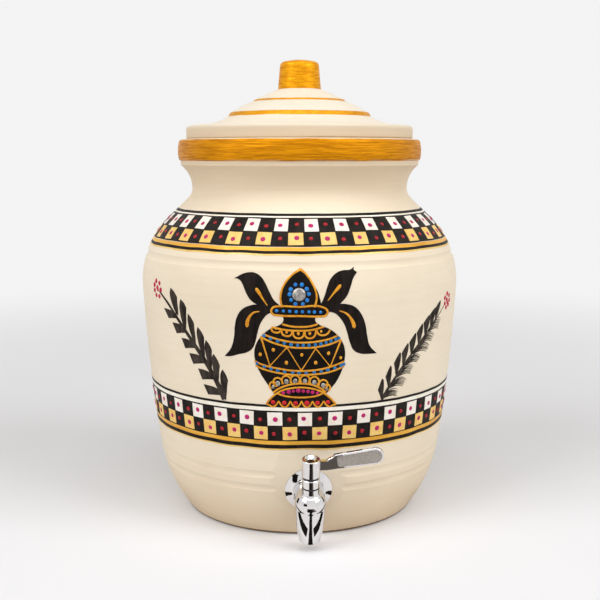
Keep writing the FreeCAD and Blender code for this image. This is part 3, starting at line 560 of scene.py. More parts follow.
blue_paint = brush_paint("blue_dot_paint", tone(38, 134, 212), tone(20, 104, 186), 0.35, grain=500, depth=0.06)
blue_bead_paint = brush_paint("deep_blue_bead_paint", tone(34, 122, 184), tone(18, 92, 152), 0.35, grain=500, depth=0.06)
pink_paint = brush_paint("magenta_dot_paint", tone(196, 30, 112), tone(158, 18, 84), 0.38, grain=420, depth=0.06)
petal_paint = brush_paint("crimson_petal_paint", tone(200, 26, 78), tone(168, 16, 58), 0.4, grain=420, depth=0.06)
red_paint = brush_paint("red_dot_paint", tone(214, 34, 40), tone(170, 20, 28), 0.36, grain=420, depth=0.06)
deep_red_paint = brush_paint("deep_red_dot_paint", tone(184, 24, 40), tone(138, 14, 26), 0.4, grain=420, depth=0.06)
silver_paint = brush_paint("silver_bead_paint", tone(176, 172, 166), tone(128, 124, 120), 0.32, 0.55, grain=380,
                           depth=0.12)
chrome = bare_metal("polished_chrome", (0.78, 0.76, 0.76, 1), 0.035, 0.05, 0.004, 28.0)
bronze = bare_metal("browned_screw", (0.12, 0.075, 0.04, 1), 0.3, 0.12, 0.01)
steel = bare_metal("plain_turned_steel", (0.62, 0.62, 0.61, 1), 0.24, 0.14, 0.02)
panel_grey = brush_paint("matt_grey_panel", tone(172, 165, 158), tone(154, 147, 140), 0.5, 0.25, grain=600, depth=0.02)
rubber = moulded("black_rubber_seal", tone(34, 33, 33), tone(24, 23, 23), 0.6, 900, 0.03)
nylon = moulded("black_nylon_washer", tone(40, 39, 40), tone(28, 27, 28), 0.42, 700, 0.02)
lining = moulded("white_lining", tone(232, 230, 224), tone(222, 219, 210), 0.38, 600, 0.02)
silicone = moulded("translucent_silicone", tone(214, 210, 202), tone(198, 193, 184), 0.5, 500, 0.03)

for node_name, finish in {
    "pot_body": cream_clay, "lid": lid_cream, "front_washer": silicone, "rear_washer": silicone,
    "clamp_washer": steel, "rosette": chrome, "lock_nut": steel, "tap_body": chrome, "bonnet_seal": rubber,
    "sleeve_seal": rubber, "thrust_washer": lining, "glide_washer": nylon, "bonnet": chrome,
    "seat_sleeve": lining, "valve_stem": steel, "stem_o_rings": rubber, "lever": chrome, "lever_screw": bronze,
}.items():
    for material_slot in frame["nodes"][node_name].material_slots:
        material_slot.material = finish


# Stripes that cross the flat pressed for the tap are laid out more finely, so that they bend over its edge.
OVER_THE_FLAT = {"steps": 480, "spacing": 1.0}

# The two chequer bands. Centres of the white squares are azimuths from the painted front, in degrees.

PER_DEGREE = GIRTH * math.pi / 180


def all_round(front_centres, more):
    """The centres seen in front, and the rest of the way round in even steps."""
    gap = (front_centres[0] + 360 - front_centres[-1]) / (more + 1)
    return front_centres + [front_centres[-1] + gap * (step + 1) for step in range(more)]


def halfway(centres):
    ends = centres[1:] + [centres[0] + 360]
    return [(a + b) / 2 for a, b in zip(centres, ends)]


def chequer_band(name, centres, top, middle, bottom, widths, cells, **round_band):
    """Ground, two rows of squares set half a step apart, and a dot in every square."""
    between = halfway(centres)
    upper, lower = (top + middle) / 2, (middle + bottom) / 2
    tall = (top - middle) - 0.9
    stripe(name + "_ground", bottom - 0.8, top + 0.9, black_paint, 0.12, **round_band)
    chequers(name + "_squares_white", [(c * PER_DEGREE, upper) for c in centres], white_paint,
             (widths, tall), 0.2, cells)
    chequers(name + "_squares_cream", [(c * PER_DEGREE, lower) for c in between], yellow_paint,
             (widths, tall), 0.2, cells)
    pink = [(c * PER_DEGREE, upper) for c in centres] + [(c * PER_DEGREE, lower) for c in between]
    red = [(c * PER_DEGREE, upper) for c in between] + [(c * PER_DEGREE, lower) for c in centres]
    hand = random.Random(name)
    for label, spots, finish, radius in (("_dots_magenta", pink, pink_paint, 2.0), ("_dots_red", red, deep_red_paint, 1.7)):
        loose = [(x + hand.uniform(-1.1, 1.1), z + hand.uniform(-0.8, 0.8)) for x, z in spots]
        dotted(name + label, loose, finish, radius, 0.15)


chequer_band("shoulder_band", all_round([-53.0, -42.1, -30.0, -18.5, -7.0, 4.6, 16.3, 28.6, 41.1, 52.6], 21),
             265.1, 255.0, 244.9, 13.1, 4)
stripe("shoulder_line_black", 266.7, 268.6, black_paint)
stripe("shoulder_line_white", 265.6, 266.9, line_white, 0.15)
stripe("shoulder_stripe_gold", 241.0, 243.7, stripe_gold, 0.16)
stripe("shoulder_stripe_black", 238.9, 241.1, black_paint, 0.19, 0.5)
stripe("shoulder_line_pale_gold", 237.6, 239.4, pale_gold, 0.13, 0.6)

chequer_band("belly_band", all_round([-60.4, -49.2, -38.6, -28.4, -18.5, -8.5, 1.8, 12.3, 22.8, 33.5, 44.0, 54.7,
                                      65.8], 21), 113.1, 101.0, 89.1, 12.4, 8, **OVER_THE_FLAT)
stripe("belly_line_black", 117.0, 119.0, black_paint)
stripe("belly_line_cream", 113.9, 117.1, line_white, 0.14)
stripe("belly_stripe_gold", 85.2, 88.5, stripe_gold, 0.16, **OVER_THE_FLAT)
stripe("belly_stripe_black", 82.1, 85.3, black_paint, 0.19, 0.5, **OVER_THE_FLAT)
stripe("belly_line_pale_gold", 80.9, 82.6, pale_gold, 0.13, 0.8, **OVER_THE_FLAT)


# The kalash

filled("kalash_belly", [[(-13.2, 192, T), (-12.4, 187.8), (-14.4, 184.8), (-22.3, 181.3), (-29.3, 175.6), (-34.1, 168.8),
                         (-36, 160.8), (-35, 153), (-31.4, 144.3), (-26.1, 136.1), (-20, 127.5, T), (20.9, 127.5, T),
                         (27.2, 134.2), (31.8, 141), (35, 149), (36.6, 157.4), (36, 165), (33.3, 171.3),
                         (28.8, 176.9), (23.2, 181), (16, 184.2), (12.4, 187.6), (13.1, 192, T)]], ink_paint, 0.18)
filled("kalash_foot", [[(-18.3, 130, T), (-23.4, 124.5), (-27.2, 119.2, T), (-9.2, 118.4), (1.3, 118.2), (11.8, 118.4),
                        (30.4, 118.9, T), (25.3, 124.7), (19.9, 130, T)]], ink_paint, 0.2)
filled("kalash_crown_side", [[(9.4, 217.4, T), (13.4, 212), (15.6, 205.7), (16.6, 200), (15.4, 197, T),
                              (10, 197.2, T)]], ink_paint, 0.16)
filled("kalash_crown", [[(0.9, 227.2, T), (6, 223), (10.5, 216), (13, 208.1), (12.8, 202.5), (11.2, 197.5, T),
                         (-12.6, 197.5, T), (-14.3, 203.3), (-14.1, 209.6), (-11, 217.1), (-5.1, 223.7)]],
       ink_paint, 0.24, 2.5)
filled("kalash_lip", [[(-21.8, 195), (-20.4, 197.8), (-17, 198.8), (0, 198.6), (19, 197.8), (21.9, 194.6),
                       (20.3, 191.6), (16.7, 191), (0.9, 191.4), (-17.3, 191.9), (-20.5, 192.5)]], ink_paint, 0.21)
stroked("kalash_gold_outlines", [
    [(-21.9, 195), (-20.4, 197.8), (-17, 198.8), (0, 198.6), (19, 197.8), (21.9, 194.6), (20.3, 191.4),
     (16.7, 190.9), (0.9, 191.3), (-17.3, 191.7), (-20.5, 192.4)]], line_gold, 1.6, 0.2, True)
stroked("kalash_gold_lines", [
    [(-13.1, 198.2), (-14.4, 203.3), (-14.2, 209.6), (-11, 217.1), (-5.1, 223.7), (0.9, 227.6, 1.3)],
    [(0.9, 227.6, 1.3), (6, 223), (10.5, 216), (13.1, 208.1), (12.9, 202.5), (11.5, 198.3)],
    [(-13.4, 184.7), (-6.3, 183), (0.9, 182.6), (8, 183.1), (14.3, 184.8)],
    [(-21.8, 182.4), (-11.1, 180.2), (0.9, 179.6), (9.6, 180.2), (19, 182.7)],
    [(-22.1, 181.6), (-21, 179), (-18.7, 178), (-16, 178.2), (-14.2, 180)],
    [(-14, 180), (-13, 176.6), (-9.9, 175.2), (-6.6, 176.2), (-5.2, 179.6)],
    [(-5.2, 179.3), (-4, 175), (-0.7, 173.6), (2.6, 175), (3.9, 179.3)],
    [(4, 179.3), (5, 175), (8.2, 173.6), (11.6, 175.2), (13.1, 180)],
    [(13.3, 180), (15, 176.9), (18.5, 175.8), (21.6, 176.8), (24, 180)],
    [(-29, 176.7), (-22.4, 174.2), (-14.3, 171.9), (-6.3, 170.6), (1.7, 170.2), (9.7, 170.5), (17.7, 171.5),
     (24.2, 172.9), (30, 175.2)],
    [(-30.6, 174.3), (-22.5, 170.4), (-14.4, 167.8), (-6.3, 166.3), (1.7, 165.9), (9.7, 166.1), (17.8, 167.2),
     (25.1, 168.8), (32.8, 171.9)],
    [(-36, 154.4), (-31.2, 152.3), (-23.7, 150.2), (-14.6, 148.7), (-6.4, 147.7), (1.7, 147.3), (9.9, 147.6),
     (18.1, 148.6), (26.3, 150.6), (36.2, 154)],
    [(-35.4, 150.8), (-29.6, 148.4), (-22.9, 146.5), (-14.7, 145.1), (-6.5, 144.3), (1.7, 144.1), (9.9, 144.3),
     (18.1, 145), (26.4, 146.6), (36, 149.9)],
    [(-21.4, 129.2), (-16.9, 132.4), (-11.5, 135), (-5.3, 136.6), (0.9, 137), (6.7, 136.6), (11.6, 135.4),
     (16.7, 133), (21.6, 129.2)],
    [(-18.3, 129), (-23.4, 124.5), (-27.2, 119.6)],
    [(19.7, 129), (25.1, 124.8), (30.5, 119.1)],
], line_gold, 1.5, 0.2)
stroked("kalash_gold_zigzag", [[(-30.4, 174.5, T), (-23.5, 150.9, T), (-10, 166.3, T), (1.5, 147.6, T),
                                (12.7, 165.4, T), (24.8, 150.3, T), (33, 171.7, T)]], line_gold, 1.8, 0.19)
stroked("kalash_gold_lens", [[(-18.4, 128.9, T), (-13.2, 131.6), (-6.5, 133.2), (0.5, 133.8), (7.5, 133.2),
                              (14.2, 131.6), (19.8, 129, T), (14.3, 126.8), (7.6, 125.8), (0.9, 125.5),
                              (-6.6, 126), (-13.3, 127.1)]], line_gold, 1.4, 0.21, True)
cusps = [(-27.2, 119.4), (-17.1, 122.4), (-7.5, 122.6), (1.7, 122.6), (10.8, 122.5), (19.8, 122.3), (30.5, 118.9)]
stroked("kalash_gold_hem", [[(*a, 0.8), ((a[0] * 3 + b[0]) / 4, 118.6), ((a[0] + b[0]) / 2, 117.4),
                             ((a[0] + b[0] * 3) / 4, 118.6), (*b, 0.8)] for a, b in zip(cusps, cusps[1:])],
        line_gold, 1.4, 0.22)
beads = [(-21.3, 134.2, 0.8), (-17.4, 137), (-10.5, 138.8), (-3.4, 139.4), (4.4, 139.4), (11.8, 138), (19.1, 135.4),
         (22.3, 132.4, 0.75)]
petals = []
for across, height, *size in beads:
    size = size[0] if size else 1.0
    lean = across * 0.019
    arc = []
    for turn in (-125, -80, -40, 0, 40, 80, 125):
        angle = math.radians(turn) + lean
        arc.append((across + 3.7 * size * math.sin(angle), height + 0.5 + 3.9 * size * math.cos(angle)))
    petals.append(arc)
stroked("kalash_gold_petals", petals, line_gold, 1.4, 0.2)
dotted("kalash_silver_beads", [(x, z - 0.3, *s) for x, z, *s in beads], silver_paint, 1.75, 0.2, 10, 8, tall=1.15)
dotted("kalash_gold_dots", [(-18.4, 181.1, 0.85), (-9.9, 178.4), (-0.8, 177.3), (8.1, 177.4), (17, 179, 0.9),
                            (-31.1, 160, 1.25), (-20.6, 164.1, 1.15), (-10.4, 154, 1.2), (1.8, 160.3, 1.2),
                            (12.8, 153.9, 1.2), (23, 161.2, 1.25), (33.1, 157.2, 1.05)], line_gold, 1.1, 0.2, 10, 6,
       tall=1.15)
dotted("kalash_blue_dots", [(-3.1, 215.8), (1.9, 215.8), (5.6, 212.6), (7.2, 208.7), (5.9, 203.8), (2.6, 200.9),
                            (-3, 201), (-6.3, 204.2), (-7.4, 208.5), (-6.6, 212.2), (-17.7, 195.3, 0.8), (-12.3, 195.2, 0.8),
                            (-7.4, 195.2, 0.8), (-2.4, 194.9, 0.8), (2.3, 194.8, 0.8), (7.4, 194.6, 0.8),
                            (11.7, 194.5, 0.8), (16.5, 194.3, 0.8)],
       blue_paint, 1.65, 0.22, 10, 6)
dotted("kalash_blue_beads", [(-27.8, 175.4), (-22.6, 173), (-17.1, 171.1), (-11.9, 169.5), (-6.6, 168.4), (-1.5, 168),
                             (2.9, 167.9), (7.4, 168), (12.4, 168.3), (16.7, 168.9), (21, 169.8), (24.8, 170.9),
                             (28.7, 172.3), (31.2, 173.2, 0.9), (-34, 152.6), (-28.1, 150.3), (-22.7, 148.7),
                             (-17.3, 147.4), (-11.8, 146.5), (-5.4, 146), (-0.3, 145.7), (5.4, 145.7), (11.7, 146),
                             (17.4, 146.6), (22.7, 147.7), (28.6, 149), (33.7, 150.8), (36, 151.8, 0.8)],
       blue_bead_paint, 1.5, 0.2, 8, 6, tall=1.05)
dotted("kalash_magenta_beads", [(-13.2, 129.2), (-8.7, 130.2, 1.1), (-5, 130.8, 0.9), (-1, 131.2, 1.1), (3, 130.8, 0.9),
                                (6.9, 130.4), (10.6, 129.7), (14.6, 129, 0.9)], pink_paint, 1.55, 0.22, 8, 6)
dotted("kalash_red_beads", [(-21.6, 121.2), (-12.5, 121), (-3.3, 120.7), (6.1, 120.8), (14.8, 120.8), (23.4, 121)],
       red_paint, 2.0, 0.2, 10, 6)
dotted("kalash_silver_stone", [(-0.3, 208.2)], silver_paint, 5.6, 0.2, 24, 12)


# Mango leaves on both sides of the kalash

filled("mango_leaf_left_upper", [[(-52.4, 219.6, T), (-49.4, 221.2), (-45.2, 223.4), (-39.8, 224.7), (-35.1, 224.4),
                                  (-30.4, 221.8), (-26.5, 216.8), (-23.2, 210.2), (-19.6, 203.8), (-14.5, 199, T),
                                  (-20, 195.4, T), (-27.6, 198.9), (-32.5, 199.8), (-37.4, 202.6), (-41.1, 207.2),
                                  (-43.7, 212.7), (-46.3, 217.4), (-49.2, 219.3)]], leaf_paint, 0.17)
filled("mango_leaf_left_lower", [[(-18.6, 196.4, T), (-26.8, 199.5), (-31.7, 200), (-38.3, 199), (-45.1, 195.7),
                                  (-49.4, 189.8), (-51.6, 182.2), (-53.1, 172.2), (-56, 163.6), (-62.1, 156.8, T),
                                  (-56.3, 157.2), (-49, 159.3), (-42, 161.2), (-37.6, 164.4), (-34.9, 170),
                                  (-33.2, 176.7), (-31.2, 183.3), (-28.4, 188.3), (-24.3, 192.6),
                                  (-19, 194.4, T)]], leaf_paint, 0.2)
filled("mango_leaf_right_upper", [[(14, 196.6, T), (17.3, 202), (19.7, 208), (21.6, 214.2), (24.4, 220.2),
                                   (29.1, 224.4), (34.2, 226.2), (40.6, 226.6), (44.4, 228.5, T), (43.4, 226.5, T),
                                   (46.2, 224.6, T), (42.8, 220.4), (39.9, 212.9), (37.1, 206.6), (32.6, 201.4),
                                   (27.8, 196.6, T)]], leaf_paint, 0.26, 2.5)
filled("mango_leaf_right_lower", [[(18.6, 196.4, T), (25.3, 199), (31, 200.4), (37.5, 200), (43.5, 197.8),
                                   (48.9, 192.2), (52.8, 183.8), (55, 173.7), (57.7, 165.3), (64.2, 158.7, T),
                                   (56.4, 158.8), (49.2, 159.8), (43.8, 162.8), (40.5, 168.8), (38.2, 176.4),
                                   (35.9, 183.1), (32, 189), (27.1, 193.3), (20, 194.6, T)]], leaf_paint, 0.2)
stroked("mango_leaf_veins", [
    [(-33.8, 212.6, 0.5), (-33.1, 211.4, 1.35), (-31.6, 209.5, 1.35), (-28.8, 205.2, 0.75), (-24.8, 199.4, 0.3)],
    [(-41.5, 181.4, 0.5), (-41.3, 182.8, 1.45), (-40.8, 186.2, 1.4), (-38, 191.2, 0.9), (-35.2, 193.5, 0.7), (-31, 194.5, 0.3)],
    [(32.3, 215.5, 0.5), (31.5, 214.3, 1.35), (29.6, 212.2, 1.3), (25.8, 208, 0.75), (21.8, 203.1, 0.3)],
    [(44.1, 180.7, 0.5), (43.6, 182, 1.45), (42.6, 185.2, 1.4), (39.6, 190, 0.9), (36, 193.1, 0.7), (31.1, 195, 0.3)],
], line_gold, 2.0, 0.2)


# The sprigs. A leaf is drawn once between three places: its foot on the stem, its tip and its side corner.

def leaf_between(foot, tip, side, pattern):
    foot, tip, side = Vector(foot), Vector(tip), Vector(side)
    return [(*(foot + (tip - foot) * p[0] + (side - foot) * p[1]), *p[2:]) for p in pattern]


POINTED = [(-0.26, 0.28, T), (0.12, -0.13), (0.5, -0.4), (0.94, -0.57), (1.12, -0.44), (1, 0, T), (0.4, 0.66),
           (-0.08, 1.08, T), (-0.1, 0.86), (-0.22, 0.62)]
SLIM = [(-0.14, 0.12, T), (0.22, -0.14), (0.55, -0.3), (0.94, -0.36), (1.08, -0.22), (1, 0, T), (0.45, 0.52),
        (-0.02, 0.92, T), (-0.06, 0.62), (-0.12, 0.38)]
BLUNT = [(-0.12, 0.05, T), (0.42, -0.5, T), (0.78, -0.36), (1, 0, T), (0.48, 0.52), (0, 1, T), (-0.04, 0.55)]

stroked("left_sprig_stem", [[(-64.6, 120.4, 1.5), (-72.1, 136, 1.35), (-81, 149.6, 1.3), (-92.3, 163.2, 1.2),
                             (-102.7, 174.6, 1.0), (-113.1, 185, 0.85), (-122.3, 193.6, 0.75),
                             (-135.4, 202.8, 0.5)]], sprig_paint, 3.3, 0.18)
inner_leaves = [((-111.2, 186.3), (-117.9, 207.2), (-110.1, 200.9)), ((-102.1, 175.5), (-105.4, 199.1), (-99.4, 193.2)),
                ((-91.8, 164.6), (-97.3, 188), (-91.5, 181.2)), ((-83.2, 154), (-87.5, 178.2), (-81.7, 170.8)),
                ((-76.8, 145.5), (-79.6, 168.2), (-74.3, 160.9)), ((-71, 136), (-72.6, 157.5), (-67.5, 149)),
                ((-64.8, 121.5), (-65, 145.5), (-60.5, 137.1))]
filled("left_sprig_inner_leaves", [leaf_between(*leaf, POINTED) for leaf in inner_leaves], sprig_paint, 0.17)
outer_leaves = [((-110.6, 183.4), (-129.4, 189.3), (-123.2, 181.5)), ((-100.8, 172.6), (-117.8, 178.4), (-113, 169.9)),
                ((-92, 161), (-107.2, 166.8), (-103.1, 158.6)), ((-82, 149.4), (-98.7, 155.2), (-95, 146.6)),
                ((-74.6, 137), (-89.9, 143.4), (-86, 134.7)), ((-67.4, 124.4), (-85, 130.8), (-80.8, 122.5))]
filled("left_sprig_outer_leaves", [leaf_between(*leaf, BLUNT) for leaf in outer_leaves], sprig_paint, 0.19)
dotted("left_sprig_flower", [(-141.9, 210.7), (-135.8, 209.4), (-145.2, 207), (-139.3, 205.3), (-144.8, 202.4),
                             (-133.4, 203.9, 1.15), (-141.8, 198.6), (-136.1, 198.3), (-138.3, 203.4, 0.8)],
       petal_paint, 1.75, 0.16, tall=1.15)

stroked("right_sprig_stem", [[(71.9, 119.2, 1.5), (77.2, 127.6, 1.3), (84.3, 136, 1.2), (92.5, 145.4, 1.1),
                              (101.4, 154, 1.0), (111, 162.6, 0.9), (122.8, 172.4, 0.7), (136.8, 181.8, 0.5),
                              (148.4, 190.2, 0.35)]], sprig_paint, 2.0, 0.16)
tops = [(70.8, 137), (78.5, 147), (87.5, 157.2), (95.9, 163.8), (104.1, 171.3), (112.3, 177.9), (121.4, 184.3),
        (130.3, 189.6), (138.6, 194.5)]
corners = [(67, 128.7), (73.7, 139.4), (81.7, 149.8), (89.5, 157.3), (97.3, 164.9), (105.5, 172.3), (113.6, 179.4),
           (122.4, 185.5), (130.9, 189.9)]
feet = [(72.2, 120.2), (78.4, 129.6), (86, 138.4), (92.6, 145.8), (101.4, 154.4), (109.8, 161.8), (117.7, 168.4),
        (125.1, 174.2), (132.4, 179.4)]
filled("right_sprig_inner_leaves", [leaf_between(*leaf, SLIM) for leaf in zip(feet, tops, corners)],
       sprig_paint, 0.17)
feathers = [((75, 123.4), (87.6, 125.4), (87.4, 120.2)), ((81.6, 131.6), (97.4, 134.2), (94.2, 127.8)),
            ((88.2, 139.6), (104.9, 143.9), (101.8, 137.4)), ((97, 148.6), (113.8, 151), (109.6, 145.6)),
            ((105.6, 157), (125, 158.6), (121.8, 153.8)), ((113.6, 164.4), (132, 166.4), (128, 161.4)),
            ((124.4, 173.2), (141.6, 179), (138.6, 170.2))]
brush = random.Random("feathers")
hairs = []
for foot, top_end, low_end in feathers:
    foot, top_end, low_end = Vector(foot), Vector(top_end), Vector(low_end)
    rise = (top_end - foot).orthogonal().normalized()
    if rise.y < 0:
        rise = -rise
    for hair in range(7):
        share = hair / 6
        end = top_end.lerp(low_end, share) + Vector((brush.uniform(-1, 1), brush.uniform(-0.5, 0.5)))
        start = foot - Vector((0.9, 1.1)) * share * 3
        bow = rise * (top_end - foot).length * (0.2 - 0.1 * share)
        hairs.append([(*start, 1.25), (*(start.lerp(end, 0.35) + bow * 0.85), 1.0),
                      (*(start.lerp(end, 0.7) + bow * 0.9), 0.62), (*end, 0.22)])
stroked("right_sprig_feathers", hairs, sprig_paint, 0.95, 0.14)
FEATHER = [(-0.1, -0.1), (0.35, 0.02), (0.72, 0.08), (0.9, -0.04), (0.5, 0.42), (0.06, 0.86), (0.06, 0.5), (0, 0.2)]
filled("right_sprig_wash", [leaf_between(*leaf, FEATHER) for leaf in feathers], thin_paint, 0.08)
dotted("right_sprig_flower", [(152.6, 198.5), (158, 196.4), (147.8, 195.4), (152.7, 193.4), (159.6, 192.1),
                              (148.5, 190.5), (157.2, 188.6), (152.1, 186.8), (154.4, 190.6, 0.8)],
       petal_paint, 1.75, 0.16, tall=1.15)


# Gilding of the rim, the lid and the knob

def brush_ridges(spot):
    """Low ridges left by a wide brush drawn round the rim, in mm."""
    return 0.22 * noise.noise(Vector((spot.x * 18, spot.y * 18, spot.z * 420))) + 0.08 * noise.noise(spot * 160)


stripe("rim_gilding", 310.0, 327.6, gilt_rim, 0.2, 0.3, 360, 0.9, brush_ridges)


def lid_ring(name, inner, outer, finish, lift):
    """A gilded ring on the lid between two radii, following the lid's own steps."""
    count = max(int((outer - inner) / 0.3), 2)
    radii = [inner + (outer - inner) * step / count for step in range(count + 1)]
    outline = [(r, lift) for r in radii] + [(r, -ROOT) for r in reversed(radii)]
    ring = spun(name, outline, 180)
    for vertex in ring.data.vertices:
        out = vertex.co.xy.length / MM
        around = vertex.co.xy.normalized()
        sway = 0.3 * noise.noise(Vector((around.x * 5, around.y * 5, outer)))
        out += sway
        vertex.co = Vector((around.x * out, around.y * out, looked_up(LID, out) + vertex.co.z / MM)) * MM
    return finished(ring, finish, "lid", "lid_clay", 60)


lid_ring("lid_ring_wide", 61.2, 63.6, gilt_lid, 0.16)
lid_ring("lid_ring_narrow", 39.8, 41.2, gilt_lid, 0.16)


def skin_of(name, node, keep, thickness, finish, body, slot, angle=35):
    """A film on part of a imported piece: the faces that keep chooses, merged and given a thickness."""
    skin = node.copy()
    skin.data = node.data.copy()
    skin.name = skin.data.name = name
    for key in list(skin.keys()):
        del skin[key]
    bpy.context.scene.collection.objects.link(skin)
    edit_all(skin)
    bpy.ops.mesh.customdata_custom_splitnormals_clear()
    bpy.ops.mesh.remove_doubles(threshold=0.000002)
    bpy.ops.mesh.select_mode(type="FACE")
    bpy.ops.mesh.select_all(action="DESELECT")
    end_edit()
    for face in skin.data.polygons:
        face.select = not keep(face)
    bpy.ops.object.mode_set(mode="EDIT")
    bpy.ops.mesh.delete(type="FACE")
    bpy.ops.mesh.select_mode(type="VERT")
    end_edit()
    apply_modifier(skin, "SOLIDIFY", thickness=thickness * MM, offset=0.2, use_even_offset=True)
    return finished(skin, finish, body, slot, angle)


skin_of("knob_gilding", lid_clay_body, lambda face: face.center.z > 372.2 * MM, 0.3, gilt_knob, "lid", "lid_clay", 50)

turn = frame["joints"][[joint["name"] for joint in frame["joints"]].index("lever_turn")]
axis = -Vector(turn["axis"]).normalized()
plate_front = axis.cross(Vector((1, 0, 0))).normalized()
if plate_front.y > 0:
    plate_front = -plate_front
hinge = Vector(turn["pos_m"])


def in_recess(face):
    """The floor of the lever plate's shallow recess, which is left bare."""
    depth = (face.center - hinge).dot(plate_front) / MM
    return face.normal.dot(plate_front) > 0.995 and face.center.x > 19 * MM and 0.9 < depth < 1.3


skin_of("lever_plate_panel", lever_casting, in_recess, 0.06, panel_grey, "lever", "polished_steel")


# Stage: a pale floor that runs into an even background, soft lamps and the camera

BACKDROP = 0.9
FILL = 0.2
floor = added("floor", bpy.ops.mesh.primitive_circle_add, vertices=64, radius=9.0, fill_type="NGON",
              location=(0, 0, -0.0002))
floor_paint = Finish("pale_floor", Roughness=0.9, Specular_IOR_Level=0.1)
floor_paint.shader.inputs["Base Color"].default_value = tone(238, 239, 243)
spot = floor_paint.node("ShaderNodeTexCoord", {}, [], "Object")
reach = floor_paint.node("ShaderNodeVectorMath", {"operation": "LENGTH"}, [spot], "Value")
glow = floor_paint.tree.nodes.new("ShaderNodeEmission")
glow.inputs["Color"].default_value = (BACKDROP, BACKDROP, BACKDROP * 1.005, 1)
seen = floor_paint.node("ShaderNodeLightPath", {}, [], "Is Camera Ray")
mirrored = floor_paint.node("ShaderNodeLightPath", {}, [], "Is Glossy Ray")
share = reach.between(0.35, 1.6, 0.12, 1.0) * (seen + mirrored)
blend = floor_paint.tree.nodes.new("ShaderNodeMixShader")
floor_paint.tree.links.new(share.socket, blend.inputs[0])
floor_paint.tree.links.new(floor_paint.shader.outputs[0], blend.inputs[1])
floor_paint.tree.links.new(glow.outputs[0], blend.inputs[2])
floor_paint.tree.links.new(blend.outputs[0], floor_paint.output.inputs["Surface"])
floor.data.materials.append(floor_paint.material)

world = bpy.data.worlds.new("studio")
bpy.context.scene.world = world
world.use_nodes = True
world.node_tree.nodes.clear()
sky_out = world.node_tree.nodes.new("ShaderNodeOutputWorld")
sky = world.node_tree.nodes.new("ShaderNodeBackground")
path = world.node_tree.nodes.new("ShaderNodeLightPath")
ways = []
for way in ("Is Camera Ray", "Is Glossy Ray", "Is Transmission Ray"):
    ways.append(path.outputs[way])
total = ways[0]
for way in ways[1:]:
    adding = world.node_tree.nodes.new("ShaderNodeMath")
    adding.operation = "MAXIMUM"
    world.node_tree.links.new(total, adding.inputs[0])
    world.node_tree.links.new(way, adding.inputs[1])
    total = adding.outputs[0]
level = world.node_tree.nodes.new("ShaderNodeMapRange")
level.inputs["To Min"].default_value = FILL
level.inputs["To Max"].default_value = BACKDROP
world.node_tree.links.new(total, level.inputs["Value"])
world.node_tree.links.new(level.outputs[0], sky.inputs["Strength"])
tint = world.node_tree.nodes.new("ShaderNodeMix")
tint.data_type = "RGBA"
tint.inputs[6].default_value = (1.0, 0.9, 0.76, 1)
tint.inputs[7].default_value = (1, 1, 1, 1)
world.node_tree.links.new(total, tint.inputs[0])
world.node_tree.links.new(tint.outputs[2], sky.inputs["Color"])
world.node_tree.links.new(sky.outputs[0], sky_out.inputs["Surface"])


def soft_lamp(name, place, aim, size, power, colour=(1, 1, 1)):
    lamp_data = bpy.data.lights.new(name, "AREA")
    lamp_data.shape = "RECTANGLE"
    lamp_data.size, lamp_data.size_y = size
    lamp_data.energy = power
    lamp_data.color = colour
    lamp = bpy.data.objects.new(name, lamp_data)
    bpy.context.scene.collection.objects.link(lamp)
    lamp.location = place
    lamp.rotation_euler = (Vector(aim) - Vector(place)).to_track_quat("-Z", "Y").to_euler()
    return lamp


soft_lamp("overhead", (0.0, -0.9, 2.5), (0, 0, 0.2), (1.8, 1.4), 20)
soft_lamp("high_left", (-2.1, -1.4, 2.0), (0, 0, 0.2), (1.7, 1.7), 50)
soft_lamp("high_right", (2.1, -1.4, 2.0), (0, 0, 0.2), (1.7, 1.7), 50)

# Cards that lie out of the camera's sight and cast no shadow: polished metal needs something dark to mirror.


def card_colour(name, level):
    paint = Finish(name, Roughness=1.0, Specular_IOR_Level=0.0)
    paint.shader.inputs["Base Color"].default_value = (level, level * 0.9, level * 0.8, 1)
    return paint.material


card_black = card_colour("card_black", 0.012)
card_grey = card_colour("card_grey", 0.1)


def as_card(card, paint):
    card.data.materials.append(paint)
    card.visible_camera = card.visible_diffuse = card.visible_shadow = card.visible_transmission = False


def flat_card(name, paint, corners):
    """A four-cornered card just over the floor: its far left, far right, near left and near right corners in mm."""
    card = added(name, bpy.ops.mesh.primitive_plane_add, size=1, location=(0, 0, 0))
    order = sorted(card.data.vertices, key=lambda vertex: (vertex.co.y, vertex.co.x))
    for vertex, (x, y) in zip(order, corners):
        vertex.co = Vector((x, y, 0.8)) * MM
    as_card(card, paint)


def upright_card(name, azimuth, distance, width, tall):
    """A standing card, seen from the tap at an azimuth from the front."""
    card = added(name, bpy.ops.mesh.primitive_plane_add, size=1, location=(0, 0, 0))
    angle = math.radians(azimuth)
    for vertex in card.data.vertices:
        across, up = vertex.co.x * width, (vertex.co.y + 0.5) * tall
        vertex.co = (distance * math.sin(angle) + across * math.cos(angle),
                     -0.15 - distance * math.cos(angle) + across * math.sin(angle), up)
    as_card(card, card_black)


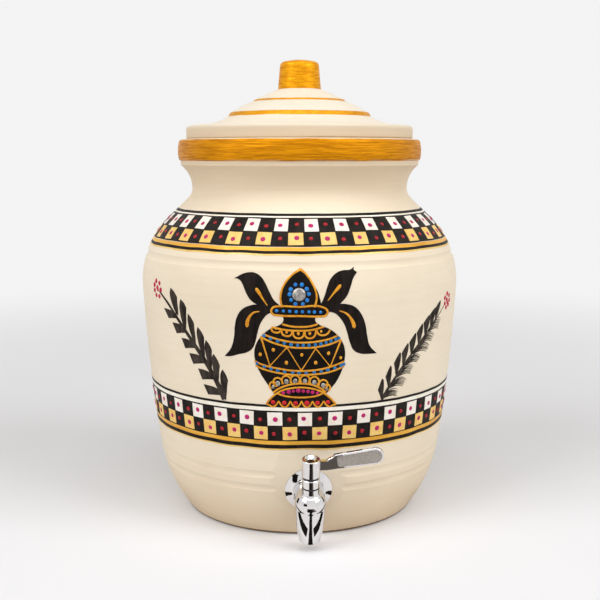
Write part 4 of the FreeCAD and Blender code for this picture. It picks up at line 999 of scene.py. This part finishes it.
flat_card("card_head", card_black, [(-46, -252), (12, -252), (-24, -184), (16, -184)])
flat_card("card_side", card_grey, [(12, -252), (36, -252), (16, -184), (40, -184)])
flat_card("card_trunk", card_black, [(-7, -186), (8, -186), (-3, -140), (4, -140)])
upright_card("card_left", -118, 0.5, 0.22, 0.22)
upright_card("card_right", 120, 0.5, 0.18, 0.22)
upright_card("card_low_left", -41, 0.5, 0.24, 0.15)
for side in (-1, 1):
    arc = added("card_arc", bpy.ops.mesh.primitive_torus_add, major_radius=0.122, minor_radius=0.004,
                major_segments=96, minor_segments=8, location=(0, 0, 0))
    edit_all(arc)
    bpy.ops.mesh.bisect(plane_co=(side * 0.01, 0, 0), plane_no=(side, 0, 0), clear_inner=True)
    bpy.ops.mesh.select_all(action="SELECT")
    bpy.ops.mesh.bisect(plane_co=(0, -0.02, 0), plane_no=(0, 1, 0), clear_outer=True)
    end_edit()
    for vertex in arc.data.vertices:
        spot = vertex.co.copy()
        ring = spot.xy.normalized() * 0.122
        away = (spot.xy - ring) * (1 + 1.6 * abs(ring.x) / 0.1)
        spot.xy = ring + away
        vertex.co = (spot.x, spot.y * 0.158 / 0.122, 0.0006 + spot.z * 0.03)
    as_card(arc, card_black)

EYE_DISTANCE = 0.9
EYE_HEIGHT = 0.3142
EYE_PITCH = math.radians(8.265)
FOCAL_PIXELS = 993.82
FRAME_PIXELS = 600
SENSOR = 36.0
AXIS_OFFSET = 0.00045
eye = bpy.data.cameras.new("camera")
eye.sensor_width = SENSOR
eye.lens = FOCAL_PIXELS / FRAME_PIXELS * SENSOR
camera = bpy.data.objects.new("camera", eye)
bpy.context.scene.collection.objects.link(camera)
toward = Vector((math.sin(FRONT), -math.cos(FRONT), 0))
sideways = Vector((math.cos(FRONT), math.sin(FRONT), 0))
camera.location = toward * EYE_DISTANCE + sideways * AXIS_OFFSET + Vector((0, 0, EYE_HEIGHT))
camera.rotation_euler = (math.pi / 2 - EYE_PITCH, 0, FRONT)
bpy.context.scene.camera = camera
bpy.context.scene.view_settings.view_transform = "Standard"
